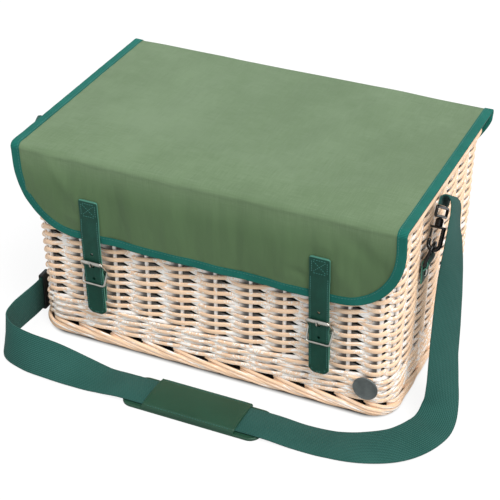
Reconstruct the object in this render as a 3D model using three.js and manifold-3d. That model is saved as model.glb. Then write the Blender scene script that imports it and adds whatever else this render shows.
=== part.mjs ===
// A willow picnic basket with a canvas lid, a front flap held by two buckled leather straps,
// and a shoulder strap of webbing clipped to a ring on each end wall.
// Millimetres, +Z up, +X along the long side to the right, the front faces -Y,
// the origin on the ground under the middle of the object.
import * as THREE from "three";
import { mergeVertices } from "three/addons/utils/BufferGeometryUtils.js";
import Module from "manifold-3d";

const wasm = await Module();
wasm.setup();

// Driving dimensions
const LID_LENGTH = 430;
const LID_DEPTH = 268;
const RIM_TOP = 230;
const WALL_LEAN = 1.12; // degrees that each wall leans in towards the ground
const GAP = 0.3; // clearance between pieces that rest on each other
const OVERRUN = 5; // how far a cutting tool reaches past what it cuts
const PIN_GAP = 0.25; // radial clearance of a pin or bar in its hole
const WELD = 1e-4; // vertices closer than this are one
const CORNER_STEPS = 4;
const ROUND_STEPS = 12;
const BAR_STEPS = 8;
const BALL_ROWS = 6;
const WIRE_STEPS = 20;
const WIRE_HALF_SIDES = 4; // half the sides of a bent wire's section
const BEND_POINTS = 8; // route points round a half turn of wire
const BADGE_STEPS = 24;
const WEBBING_STEPS = 3; // along the webbing between two points of its route
const WEBBING_DIVISIONS = 4; // across the webbing, which twists

// Wicker
const LID_OVERHANG = 2.5;
const RIM_CORNER = 30;
const RIM_HEIGHT = 13;
const RIM_PROUD = 4;
const RIM_THICK = 14;
const WALL_THICK = 9;
const WALE_PROUD = 1;
const WALE_TOP = 48;
const FOOT_HEIGHT = 16;
const FOOT_PROUD = 3;
const FOOT_THICK = 14;
const STAKE_RADIUS = 3;
const FRONT_STAKES = [-150.6, -110, -71.8, -32.1, 8.1, 48.1, 86.1, 121.1, 157.3]; // x of the front wall's stakes
const BACK_STAKES = [-152.4, -114.3, -76.2, -38.1, 0, 38.1, 76.2, 114.3, 152.4];
const SIDE_STAKES = [-73, -36.5, 0, 36.5, 73]; // y of an end wall's stakes
const CORNER_STAKE_SHARES = [0.25, 0.75]; // where two stakes stand round each corner
const ROD_INSET = 0.3; // how far in the weave's rods lie before a stake
const ROD_DIPS = [[0.25, 1.2], [0.5, 3.4], [0.75, 1.2]]; // share of the way to the next stake, and depth there
const BASE_THICK = 8;
const BASE_STICK_RADIUS = 4;
const BASE_STICKS = 3;

// Cloth lining
const LINING_THICK = 1.5;
const LINING_BELOW_RIM = 1;
const HEM_HEIGHT = 26;
const HEM_THICK = 1.2;

// Lid: canvas over a stiff board, with a lining below and bound side edges
const LINING_CLOTH = 0.8;
const BOARD_THICK = 2.2;
const CANVAS_THICK = 1;
const BINDING_CLOTH = 1;
const BINDING_WIDTH = 10;

// Flap
const FLAP_THICK = 1.8;
const FLAP_DROP = 103;
const FLAP_CORNER_WIDE = 69;
const FLAP_CORNER_HIGH = 78;
const FOLD_ABOVE_LID = 1.8; // the fold line's height over the canvas
const FLAP_LEAN = 3; // degrees that the hanging flap, straps and buckles lean in to the wall
const REAR_DROP_HEIGHT = 60;

// Closures
const STRAP_CENTRE = 128;
const STRAP_WIDTH = 22;
const STRAP_THICK = 2.2;
const STRAP_BELOW_RIM = 43; // from the rim's top down to the strap's sewn end
const STITCH_BOX = 21;
const STRAP_LENGTH = 143;
const STRAP_TIP_CORNER = 5;
const STRAP_HOLE_RADIUS = 2.3;
const STRAP_HOLE_PITCH = 15.5;
const STRAP_HOLES = 3;
const ROLLER_BELOW_RIM = 118; // from the rim's top down to the roller's centre
const BUCKLE_HEIGHT = 28; // between the roller's centre and the lower bar's
const PRONG_HOLE_RISE = 7.5; // from the middle bar up to the hole that the prong goes through
const WIRE_RADIUS = 1.2;
const ROLLER_RADIUS = 2.2;
const ANCHOR_WIDTH = 20;
const ANCHOR_THICK = 1.8;
const ANCHOR_LENGTH = 38;
const ANCHOR_FOLD = 18;
const PRONG_SLOT = 5;
const RIVET_RADIUS = 2;
const RIVET_HEAD_RADIUS = 4;
const RIVET_HEAD = 1.2;
const PRONG_RADIUS = 0.9;
const PRONG_DIP_SHARE = 1.5; // how far below its hole the prong meets the strap's back, in its own radii
const PRONG_RISE_SHARE = 0.6; // how far above it the prong leaves the strap's front, in its own radii
const PRONG_BULGE_SHARES = [0.6, 1.05]; // the prong's bend before the roller, in shares of its reach there

// Side fittings
const FITTING_Y = -54;
const RING_BELOW_RIM = 52; // from the rim's top down to the ring's bow, which the hook holds
const RING_OFF_WALL = 9;
const RING_WIRE = 1.8;
const RING_WIDTH = 26;
const RING_HEIGHT = 20;
const TAB_WIDTH = 21;
const TAB_THICK = 1.8;
const TAB_LENGTH = 24;
const TAB_FOLD = 8;
const HOOK_WIRE = 2.2;
const HOOK_CLEAR = 2; // between the hook's bend and the ring's wire
const HOOK_SHANK = 12;
const HOOK_NOSE = 3;
const CHEEK_THICK = 2.4;
const CHEEK_HALF = 2.6;
const HOOK_LEAN = 33; // degrees that the right hook leans to the back, and the left one to the front
const BARREL_RADIUS = 4;
const BARREL_HEIGHT = 8;
const EYE_WIRE = 1.6;
const EYE_HEIGHT = 9;
const EYE_SIDE_GAP = 0.5;
const STUD_RADIUS = 1.8;
const GATE_WIRE = 1.1;

// Shoulder strap
const WEBBING_WIDTH = 40;
const WEBBING_THICK = 1.8;
const PAD_LENGTH = 156;
const PAD_WIDTH = 50;
const PAD_CORNER = 12.5;
const PAD_BASE_THICK = 3.6;
const PAD_BASE_EDGE = 1.2; // radius of the base's round edges
const PAD_COVER_LENGTH = 104;
const PAD_COVER_EDGE = 1.2; // the crowned cover's thickness over the webbing at its sides
const PAD_COVER_THICK = 3; // and along its middle
const PAD_CENTRE_X = 17;
const PAD_CENTRE_Y = -186.5;
const SLIDER_Y = -88;
const SLIDER_LENGTH = 14;
const SLIDER_WALL = 2.4;

// Badge
const BADGE_RADIUS = 13.5;
const BADGE_THICK = 2;
const BADGE_FROM_END = 31.5; // in from the end wall
const BADGE_Z = 36;
const BADGE_STUD_RADIUS = 1.5;

// Sizes worked out from those above
const LEAN = RIM_TOP * Math.tan(THREE.MathUtils.degToRad(WALL_LEAN)); // from the rim to the ground
const STRAP_TOP = RIM_TOP - STRAP_BELOW_RIM;
const STRAP_TIP = STRAP_TOP - STRAP_LENGTH;
const BUCKLE_TOP = RIM_TOP - ROLLER_BELOW_RIM; // height of the roller's centre
const RING_Z = RIM_TOP - RING_BELOW_RIM;
const RIM_HALF_X = LID_LENGTH / 2 - LID_OVERHANG;
const RIM_HALF_Y = LID_DEPTH / 2 - LID_OVERHANG;
const WALL_HALF_X = RIM_HALF_X - RIM_PROUD;
const WALL_HALF_Y = RIM_HALF_Y - RIM_PROUD;
const WALL_CORNER = RIM_CORNER - RIM_PROUD;
const BADGE_X = WALL_HALF_X - BADGE_FROM_END;
const WEAVE_TOP = RIM_TOP - RIM_HEIGHT - GAP;
const LID_BOTTOM = RIM_TOP + GAP + BINDING_CLOTH + GAP;
const BOARD_BOTTOM = LID_BOTTOM + LINING_CLOTH + GAP;
const CANVAS_BOTTOM = BOARD_BOTTOM + BOARD_THICK + GAP;
const LID_TOP = CANVAS_BOTTOM + CANVAS_THICK;
const FOLD_Z = LID_TOP + FOLD_ABOVE_LID;
const BOUND_HALF = FLAP_THICK / 2 + GAP + BINDING_CLOTH; // half the thickness of a bound edge
const LEAN_ANGLE = THREE.MathUtils.degToRad(FLAP_LEAN);
const LEAN_AT_LID = (FOLD_Z - RIM_TOP) * Math.sin(LEAN_ANGLE); // how far the lean brings the flap in there
const FLAP_Y = -(LID_DEPTH / 2 + GAP + LEAN_AT_LID + BOUND_HALF);
const REAR_Y = RIM_HALF_Y + GAP + FLAP_THICK / 2;
const REAR_TOP = LID_BOTTOM - GAP - BINDING_CLOTH - GAP;
const STRAP_BACK = FLAP_Y - BOUND_HALF - GAP; // back face of the leather strap, clear of the binding
const STRAP_FRONT = STRAP_BACK - STRAP_THICK;
const STRAP_MID_Y = (STRAP_BACK + STRAP_FRONT) / 2;
const TAIL_TOP = STRAP_TOP - STITCH_BOX - GAP;
const BUCKLE_CENTRE_Z = BUCKLE_TOP - BUCKLE_HEIGHT / 2;
const ROLLER_Y = STRAP_FRONT - GAP - ROLLER_RADIUS;
const LOW_BAR_Y = STRAP_FRONT - GAP - WIRE_RADIUS;
const ANCHOR_LOOP = WIRE_RADIUS + PIN_GAP + ANCHOR_THICK; // outer radius of the leather round the bar
const MIDDLE_BAR_Y = STRAP_BACK + GAP + ANCHOR_LOOP;
const BUCKLE_HALF = STRAP_WIDTH / 2 + GAP * 2 + WIRE_RADIUS;
const ROOT_BACK = FLAP_Y - FLAP_THICK / 2 - GAP; // back face of the strap's sewn root
const PRONG_HOLE_Z = BUCKLE_CENTRE_Z + PRONG_HOLE_RISE;
const WALL_AT_RING = leanedX(WALL_HALF_X, RING_Z);
const RING_X = WALL_AT_RING + RING_OFF_WALL;
const TAB_LOOP = RING_WIRE + PIN_GAP + TAB_THICK;
const RING_TILT = Math.asin((RING_OFF_WALL - GAP - TAB_LOOP) / RING_HEIGHT);
const RING_BAR_X = WALL_AT_RING + GAP + TAB_LOOP;
const RING_BAR_Z = RING_Z - RING_HEIGHT * Math.cos(RING_TILT);
const HOOK_BEND = RING_WIRE + HOOK_CLEAR + HOOK_WIRE;
const BARREL_BOTTOM = HOOK_BEND + HOOK_SHANK;
const EYE_LOW = BARREL_BOTTOM + BARREL_HEIGHT + GAP + EYE_WIRE;
const EYE_HIGH = EYE_LOW + EYE_HEIGHT;
const EYE_HALF = WEBBING_WIDTH / 2 + EYE_SIDE_GAP + EYE_WIRE;

const finish = (color, roughness, metalness = 0) => () =>
  new THREE.MeshStandardMaterial({ color, roughness, metalness });
const willow = finish(0xe6c39c, 0.7);
const paleWillow = finish(0xf0dcc0, 0.75);
const canvas = finish(0x84987a, 0.9);
const binding = finish(0x3a8c7c, 0.85);
const cloth = finish(0x3c4340, 0.95);
const board = finish(0x8a7a5e, 0.8);
const leather = finish(0x264d3f, 0.55);
const silver = finish(0xc9ccce, 0.3, 1);
const blackMetal = finish(0x141716, 0.3, 0.6);
const webbing = finish(0x26695c, 0.9);
const badgeMetal = finish(0x5f6969, 0.45, 0.7);

const basket = new THREE.Group();

function place(name, geometry, material, parent = basket) {
  const mesh = new THREE.Mesh(geometry, material());
  mesh.name = name;
  parent.add(mesh);
  return mesh;
}

// A closed three.js geometry as a solid, and back.
function solid(geometry) {
  const flat = geometry.clone();
  flat.deleteAttribute("normal");
  flat.deleteAttribute("uv");
  const merged = mergeVertices(flat, WELD);
  return new wasm.Manifold(
    new wasm.Mesh({
      numProp: 3,
      vertProperties: merged.attributes.position.array,
      triVerts: new Uint32Array(merged.index.array),
    }),
  );
}

function geometryOf(made) {
  const mesh = made.getMesh();
  const geometry = new THREE.BufferGeometry();
  geometry.setAttribute("position", new THREE.BufferAttribute(mesh.vertProperties, 3));
  geometry.setIndex(new THREE.BufferAttribute(mesh.triVerts, 1));
  return geometry;
}

function cut(geometry, ...tools) {
  return geometryOf(tools.reduce((rest, tool) => rest.subtract(solid(tool)), solid(geometry)));
}

function join(geometry, ...others) {
  return geometryOf(others.reduce((sum, other) => sum.add(solid(other)), solid(geometry)));
}

// A box by its lowest and highest corners.
function block(x0, x1, y0, y1, z0, z1) {
  const box = new THREE.BoxGeometry(x1 - x0, y1 - y0, z1 - z0);
  return box.translate((x0 + x1) / 2, (y0 + y1) / 2, (z0 + z1) / 2);
}

// A round rod from one point to another.
function rod(from, to, radius, steps = ROUND_STEPS) {
  const a = new THREE.Vector3(...from);
  const b = new THREE.Vector3(...to);
  const made = new THREE.CylinderGeometry(radius, radius, a.distanceTo(b), steps);
  const turn = new THREE.Quaternion().setFromUnitVectors(
    new THREE.Vector3(0, 1, 0),
    b.clone().sub(a).normalize(),
  );
  return made.applyQuaternion(turn).translate(...a.add(b).divideScalar(2).toArray());
}

// A wire's round end or corner.
function ball(at, radius) {
  return new THREE.SphereGeometry(radius, BAR_STEPS, BALL_ROWS).translate(...at);
}

// A round wire through points, with rounded corners where they are close together.
function wire(points, radius) {
  const path = new THREE.CatmullRomCurve3(points.map((p) => new THREE.Vector3(...p)));
  path.curveType = "catmullrom";
  path.tension = 0.5;
  const section = new THREE.Shape();
  section.absarc(0, 0, radius, 0, Math.PI * 2);
  return new THREE.ExtrudeGeometry(section, {
    steps: WIRE_STEPS,
    curveSegments: WIRE_HALF_SIDES,
    bevelEnabled: false,
    extrudePath: path,
  });
}

// A rectangle with round corners, as an outline in X and Y.
function roundedRectangle(halfX, halfY, radius) {
  const outline = new THREE.Shape();
  outline.absarc(halfX - radius, halfY - radius, radius, 0, Math.PI / 2);
  outline.absarc(radius - halfX, halfY - radius, radius, Math.PI / 2, Math.PI);
  outline.absarc(radius - halfX, radius - halfY, radius, Math.PI, Math.PI * 1.5);
  outline.absarc(halfX - radius, radius - halfY, radius, Math.PI * 1.5, Math.PI * 2);
  return outline;
}

function extrude(outline, z0, z1, curveSegments = CORNER_STEPS) {
  const made = new THREE.ExtrudeGeometry(outline, {
    depth: z1 - z0,
    curveSegments,
    bevelEnabled: false,
  });
  return made.translate(0, 0, z0);
}

// The walls lean in evenly towards the ground: every wicker and lining piece is drawn
// as it would be at the rim's height, then drawn in at each height.
function lean(geometry) {
  const at = geometry.attributes.position;
  for (let i = 0; i < at.count; i++) {
    const inward = (LEAN * (RIM_TOP - at.getZ(i))) / RIM_TOP;
    at.setX(i, at.getX(i) * (1 - inward / WALL_HALF_X));
    at.setY(i, at.getY(i) * (1 - inward / WALL_HALF_Y));
  }
  return geometry;
}

function leanedY(y, z) {
  return y * (1 - (LEAN * (RIM_TOP - z)) / RIM_TOP / WALL_HALF_Y);
}

function leanedX(x, z) {
  return x * (1 - (LEAN * (RIM_TOP - z)) / RIM_TOP / WALL_HALF_X);
}

const stakeHalfX = WALL_HALF_X - WALL_THICK / 2 - WALL_CORNER * (1 - Math.SQRT1_2);
const stakeHalfY = WALL_HALF_Y - WALL_THICK / 2 - WALL_CORNER * (1 - Math.SQRT1_2);
const stakeInset = (WALL_THICK / 2) * (1 - Math.SQRT1_2);
const stakePlaces = [
  ["front_left", -1, -1],
  ["front_right", 1, -1],
  ["back_left", -1, 1],
  ["back_right", 1, 1],
].map(([side, sx, sy]) => [side, sx * (stakeHalfX + stakeInset), sy * (stakeHalfY + stakeInset)]);

function evenOutline(proud) {
  return roundedRectangle(WALL_HALF_X + proud, WALL_HALF_Y + proud, WALL_CORNER + proud);
}

// A ring of wicker with the corner stakes' channels through it.
function wickerRing(proud, thick, z0, z1, withStakes, outline = evenOutline(proud)) {
  const inset = proud - thick;
  outline.holes.push(
    roundedRectangle(WALL_HALF_X + inset, WALL_HALF_Y + inset, WALL_CORNER + inset),
  );
  if (withStakes) {
    for (const [, x, y] of stakePlaces) {
      const channel = new THREE.Path();
      channel.absarc(x, y, STAKE_RADIUS + GAP, 0, Math.PI * 2);
      outline.holes.push(channel);
    }
  }
  return extrude(outline, z0, z1);
}

// Distances along the wall's outline to every stake, from where the back right corner starts.
function stakeStations() {
  const arc = (Math.PI / 2) * WALL_CORNER;
  const halfX = WALL_HALF_X - WALL_CORNER;
  const halfY = WALL_HALF_Y - WALL_CORNER;
  const walls = [
    [halfX, BACK_STAKES.map((x) => halfX - x).reverse()],
    [halfY, SIDE_STAKES.map((y) => halfY - y).reverse()],
    [halfX, FRONT_STAKES.map((x) => halfX + x)],
    [halfY, SIDE_STAKES.map((y) => halfY + y)],
  ];
  const stations = [];
  let start = 0;
  for (const [half, places] of walls) {
    for (const share of CORNER_STAKE_SHARES) stations.push(start + share * arc);
    start += arc;
    for (const place of places) stations.push(start + place);
    start += half * 2;
  }
  return [stations, start, arc];
}

// The weave's outline: the rods lie out before each stake and dip in midway to the next,
// but not between the two stakes of a corner.
function wovenOutline() {
  const flat = roundedRectangle(WALL_HALF_X, WALL_HALF_Y, WALL_CORNER);
  const [stations, total, arc] = stakeStations();
  const points = [];
  const add = (distance, inset) => {
    const share = (distance % total) / total;
    const at = flat.getPointAt(share);
    const along = flat.getTangentAt(share);
    points.push(new THREE.Vector2(at.x - along.y * inset, at.y + along.x * inset));
  };
  for (let i = 0; i < stations.length; i++) {
    const here = stations[i];
    const next = i + 1 < stations.length ? stations[i + 1] : stations[0] + total;
    const inCorner = next - here < arc;
    add(here, ROD_INSET);
    for (const [share, dip] of ROD_DIPS) add(here + share * (next - here), inCorner ? ROD_INSET : dip);
  }
  return new THREE.Shape(points);
}

function makeWicker() {
  const waleBottom = FOOT_HEIGHT + GAP;
  const rivets = closureSides.map(([, centre]) => anchorRivetBore(centre));
  const tabRivets = fittingSides.map(([, side]) => tabRivetBore(side));
  const badgeBore = rod(
    [BADGE_X, -LID_DEPTH, BADGE_Z],
    [BADGE_X, 0, BADGE_Z],
    BADGE_STUD_RADIUS + PIN_GAP,
  );
  place("foot_border", lean(wickerRing(FOOT_PROUD, FOOT_THICK, 0, FOOT_HEIGHT, false)), willow);
  const wale = lean(wickerRing(WALE_PROUD, WALL_THICK + WALE_PROUD, waleBottom, WALE_TOP, true));
  place("foot_wale", cut(wale, badgeBore, ...rivets), willow);
  const weave = lean(wickerRing(0, WALL_THICK, WALE_TOP + GAP, WEAVE_TOP, true, wovenOutline()));
  place("wall_weave", cut(weave, ...rivets, ...tabRivets), paleWillow);
  place("rim_border", lean(wickerRing(RIM_PROUD, RIM_THICK, RIM_TOP - RIM_HEIGHT, RIM_TOP, false)), willow);
  for (const [side, x, y] of stakePlaces) {
    const stake = rod([x, y, waleBottom], [x, y, WEAVE_TOP], STAKE_RADIUS);
    place("corner_stake_" + side, lean(stake), willow);
  }
  const panelInset = WALL_THICK + GAP;
  const panel = roundedRectangle(
    WALL_HALF_X - panelInset,
    WALL_HALF_Y - panelInset,
    WALL_CORNER - panelInset,
  );
  place("base_panel", lean(extrude(panel, waleBottom, waleBottom + BASE_THICK)), willow);
  const footInner = WALL_HALF_Y + FOOT_PROUD - FOOT_THICK - GAP * 2;
  const stickZ = FOOT_HEIGHT - BASE_STICK_RADIUS;
  for (let i = 0; i < BASE_STICKS; i++) {
    const x = (i + 1 - (BASE_STICKS + 1) / 2) * (WALL_HALF_X / 2);
    const stick = rod([x, -footInner, stickZ], [x, footInner, stickZ], BASE_STICK_RADIUS);
    place("base_stick_" + (i + 1), lean(stick), willow);
  }
}

// A tub of cloth inside the walls, open at the top, and the hem sewn round its mouth.
function makeLining() {
  const inset = RIM_THICK - RIM_PROUD + GAP;
  const bottom = FOOT_HEIGHT + GAP + BASE_THICK + GAP;
  const top = RIM_TOP - LINING_BELOW_RIM;
  const shell = (off) =>
    roundedRectangle(WALL_HALF_X - inset - off, WALL_HALF_Y - inset - off, WALL_CORNER - inset - off);
  const tub = cut(
    extrude(shell(0), bottom, top),
    extrude(shell(LINING_THICK), bottom + LINING_THICK, top + OVERRUN),
  );
  const bores = [
    ...closureSides.map(([, centre]) => anchorRivetBore(centre)),
    ...fittingSides.map(([, side]) => tabRivetBore(side)),
  ];
  place("lining", cut(lean(tub), ...bores), cloth);
  const band = shell(LINING_THICK + GAP);
  band.holes.push(shell(LINING_THICK + GAP + HEM_THICK));
  place("lining_hem", lean(extrude(band, top - HEM_HEIGHT, top)), cloth);
}

// The lid's three layers lie in the side bindings, which wrap their edges like a channel.
function makeLid() {
  const halfY = LID_DEPTH / 2;
  const halfX = LID_LENGTH / 2 - BINDING_CLOTH - GAP;
  place("lid_lining", block(-halfX, halfX, -halfY, halfY, LID_BOTTOM, LID_BOTTOM + LINING_CLOTH), cloth);
  place("lid_board", block(-halfX, halfX, -halfY, halfY, BOARD_BOTTOM, BOARD_BOTTOM + BOARD_THICK), board);
  place("lid_canvas", block(-halfX, halfX, -halfY, halfY, CANVAS_BOTTOM, LID_TOP), canvas);
  for (const [side, sign] of [["left", -1], ["right", 1]]) {
    const outer = sign * (LID_LENGTH / 2);
    const inner = sign * (LID_LENGTH / 2 - BINDING_WIDTH);
    const web = outer - sign * BINDING_CLOTH;
    const x0 = Math.min(outer, inner);
    const x1 = Math.max(outer, inner);
    const wrap = block(x0, x1, -halfY, halfY, LID_BOTTOM - GAP - BINDING_CLOTH, LID_TOP + GAP + BINDING_CLOTH);
    const slotX = [web, inner - sign * OVERRUN].sort((a, b) => a - b);
    const slot = block(...slotX, -halfY - OVERRUN, halfY + OVERRUN, LID_BOTTOM - GAP, LID_TOP + GAP);
    place("lid_binding_" + side, cut(wrap, slot), binding);
  }
}

// The flap's outline seen from the front, drawn in by inset, with elliptical lower corners.
function flapOutline(inset, topInset = 0) {
  const half = LID_LENGTH / 2 - inset;
  const wide = FLAP_CORNER_WIDE - inset;
  const high = FLAP_CORNER_HIGH - inset;
  const low = FOLD_Z - FLAP_DROP + inset;
  const outline = new THREE.Shape();
  outline.moveTo(-half, FOLD_Z - topInset);
  outline.absellipse(wide - half, low + high, wide, high, Math.PI, Math.PI * 1.5, false, 0);
  outline.absellipse(half - wide, low + high, wide, high, Math.PI * 1.5, Math.PI * 2, false, 0);
  outline.lineTo(half, FOLD_Z - topInset);
  return outline;
}

// A sheet whose outline is drawn in X and Z, centred on y.
function upright(outline, y, thick) {
  return extrude(outline, -thick / 2, thick / 2).rotateX(Math.PI / 2).translate(0, y, 0);
}

function makeFlap(front) {
  const canvasInset = BINDING_CLOTH + GAP;
  place("flap_canvas", upright(flapOutline(canvasInset), FLAP_Y, FLAP_THICK), canvas, front);
  const wrap = upright(flapOutline(0), FLAP_Y, BOUND_HALF * 2);
  const window = upright(flapOutline(BINDING_WIDTH, -OVERRUN), FLAP_Y, BOUND_HALF * 2 + OVERRUN);
  const slot = upright(flapOutline(BINDING_CLOTH, -OVERRUN), FLAP_Y, FLAP_THICK + GAP * 2);
  place("flap_binding", cut(wrap, window, slot), binding, front);
}

// The strip of canvas that hangs down the back and ties the lid to the basket.
function makeRearDrop() {
  const low = REAR_TOP - REAR_DROP_HEIGHT;
  const halfX = LID_LENGTH / 2 - BINDING_CLOTH - GAP;
  const halfY = FLAP_THICK / 2;
  place("rear_drop", block(-halfX, halfX, REAR_Y - halfY, REAR_Y + halfY, low, REAR_TOP), canvas);
  for (const [side, sign] of [["left", -1], ["right", 1]]) {
    const outer = sign * (LID_LENGTH / 2);
    const inner = sign * (LID_LENGTH / 2 - BINDING_WIDTH);
    const xs = [outer, inner].sort((a, b) => a - b);
    const wrap = block(...xs, REAR_Y - BOUND_HALF, REAR_Y + BOUND_HALF, low, REAR_TOP);
    const slotX = [outer - sign * BINDING_CLOTH, inner - sign * OVERRUN].sort((a, b) => a - b);
    const slotHalf = halfY + GAP;
    const slot = block(...slotX, REAR_Y - slotHalf, REAR_Y + slotHalf, low - OVERRUN, REAR_TOP + OVERRUN);
    place("rear_binding_" + side, cut(wrap, slot), binding);
  }
}

const closureSides = [
  ["left", -STRAP_CENTRE],
  ["right", STRAP_CENTRE],
];

// The flap, its straps and their buckles are drawn hanging straight down, then leaned
// in together about the fold line.
function leanedPoint(y, z) {
  const dy = y - FLAP_Y;
  const dz = z - FOLD_Z;
  return [
    FLAP_Y + dy * Math.cos(LEAN_ANGLE) - dz * Math.sin(LEAN_ANGLE),
    FOLD_Z + dy * Math.sin(LEAN_ANGLE) + dz * Math.cos(LEAN_ANGLE),
  ];
}

const [barY, barZ] = leanedPoint(MIDDLE_BAR_Y, BUCKLE_CENTRE_Z);
const anchorRivetZ = barZ - ANCHOR_LENGTH + RIVET_HEAD_RADIUS * 2;
const tabRivetZ = RING_BAR_Z - TAB_LENGTH + RIVET_HEAD_RADIUS * 2;

function anchorRivetBore(centre) {
  const bore = RIVET_RADIUS + PIN_GAP;
  return rod([centre, -LID_DEPTH, anchorRivetZ], [centre, 0, anchorRivetZ], bore);
}

function tabRivetBore(side) {
  const bore = RIVET_RADIUS + PIN_GAP;
  return rod([side * LID_LENGTH, FITTING_Y, tabRivetZ], [0, FITTING_Y, tabRivetZ], bore);
}

// A strap that lies on a wall, goes up round a bar and comes back down over itself, seen
// from its edge: u is the distance out from the middle of the basket, z the height.
function loopedStrap(barU, topZ, barRadius, thick, length, fold) {
  const inner = barRadius + PIN_GAP;
  const outer = inner + thick;
  const back = barU - outer;
  const step = outer * 2;
  const outline = new THREE.Shape();
  outline.moveTo(back, topZ - length);
  outline.lineTo(back, topZ);
  outline.absarc(barU, topZ, outer, Math.PI, 0, true);
  outline.lineTo(back + thick * 2 + GAP, topZ - step);
  outline.lineTo(back + thick * 2 + GAP, topZ - Math.max(fold, step));
  outline.lineTo(back + thick, topZ - Math.max(fold, step));
  outline.lineTo(back + thick, topZ - length);
  const eye = new THREE.Path();
  eye.absarc(barU, topZ, inner, 0, Math.PI * 2);
  outline.holes.push(eye);
  return outline;
}

// A rivet along Y or X: a shank with a head at each end.
function rivet(outer, inner, at) {
  return join(
    rod(at(outer), at(inner), RIVET_RADIUS),
    rod(at(outer), at(outer - RIVET_HEAD), RIVET_HEAD_RADIUS),
    rod(at(inner + RIVET_HEAD), at(inner), RIVET_HEAD_RADIUS),
  );
}

function makeAnchor(side, centre) {
  const outline = loopedStrap(-barY, barZ, WIRE_RADIUS, ANCHOR_THICK, ANCHOR_LENGTH, ANCHOR_FOLD);
  const strap = extrude(outline, -ANCHOR_WIDTH / 2, ANCHOR_WIDTH / 2, ROUND_STEPS)
    .rotateX(Math.PI / 2)
    .rotateZ(-Math.PI / 2)
    .translate(centre, 0, 0);
  const slotHalf = PRONG_SLOT / 2;
  const slot = block(
    centre - slotHalf,
    centre + slotHalf,
    barY - ANCHOR_LOOP - OVERRUN,
    barY + ANCHOR_LOOP + OVERRUN,
    barZ - ANCHOR_LOOP,
    barZ + ANCHOR_LOOP + OVERRUN,
  );
  place(side + "_anchor_strap", cut(strap, slot, anchorRivetBore(centre)), leather);
  const front = -barY - ANCHOR_LOOP + ANCHOR_THICK + GAP + RIVET_HEAD;
  const inset = RIM_THICK - RIM_PROUD + GAP + LINING_THICK;
  const inside = leanedY(WALL_HALF_Y - inset, anchorRivetZ) - GAP - RIVET_HEAD;
  const made = rivet(front, inside, (u) => [centre, -u, anchorRivetZ]);
  place(side + "_anchor_rivet", made, silver);
}

function makeStrap(front, side, centre) {
  const half = STRAP_WIDTH / 2;
  const root = block(
    centre - half,
    centre + half,
    ROOT_BACK - STRAP_THICK,
    ROOT_BACK,
    STRAP_TOP - STITCH_BOX,
    STRAP_TOP,
  );
  place(side + "_strap_root", root, leather, front);
  const outline = new THREE.Shape();
  outline.moveTo(centre - half, TAIL_TOP);
  outline.lineTo(centre - half, STRAP_TIP + STRAP_TIP_CORNER);
  outline.lineTo(centre - half + STRAP_TIP_CORNER, STRAP_TIP);
  outline.lineTo(centre + half - STRAP_TIP_CORNER, STRAP_TIP);
  outline.lineTo(centre + half, STRAP_TIP + STRAP_TIP_CORNER);
  outline.lineTo(centre + half, TAIL_TOP);
  for (let i = 0; i < STRAP_HOLES; i++) {
    const hole = new THREE.Path();
    const z = PRONG_HOLE_Z + (1 - i) * STRAP_HOLE_PITCH;
    hole.absarc(centre, z, STRAP_HOLE_RADIUS, 0, Math.PI * 2);
    outline.holes.push(hole);
  }
  const tail = upright(outline, STRAP_MID_Y, STRAP_THICK);
  place(side + "_strap_tail", tail, leather, front);
}

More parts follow.
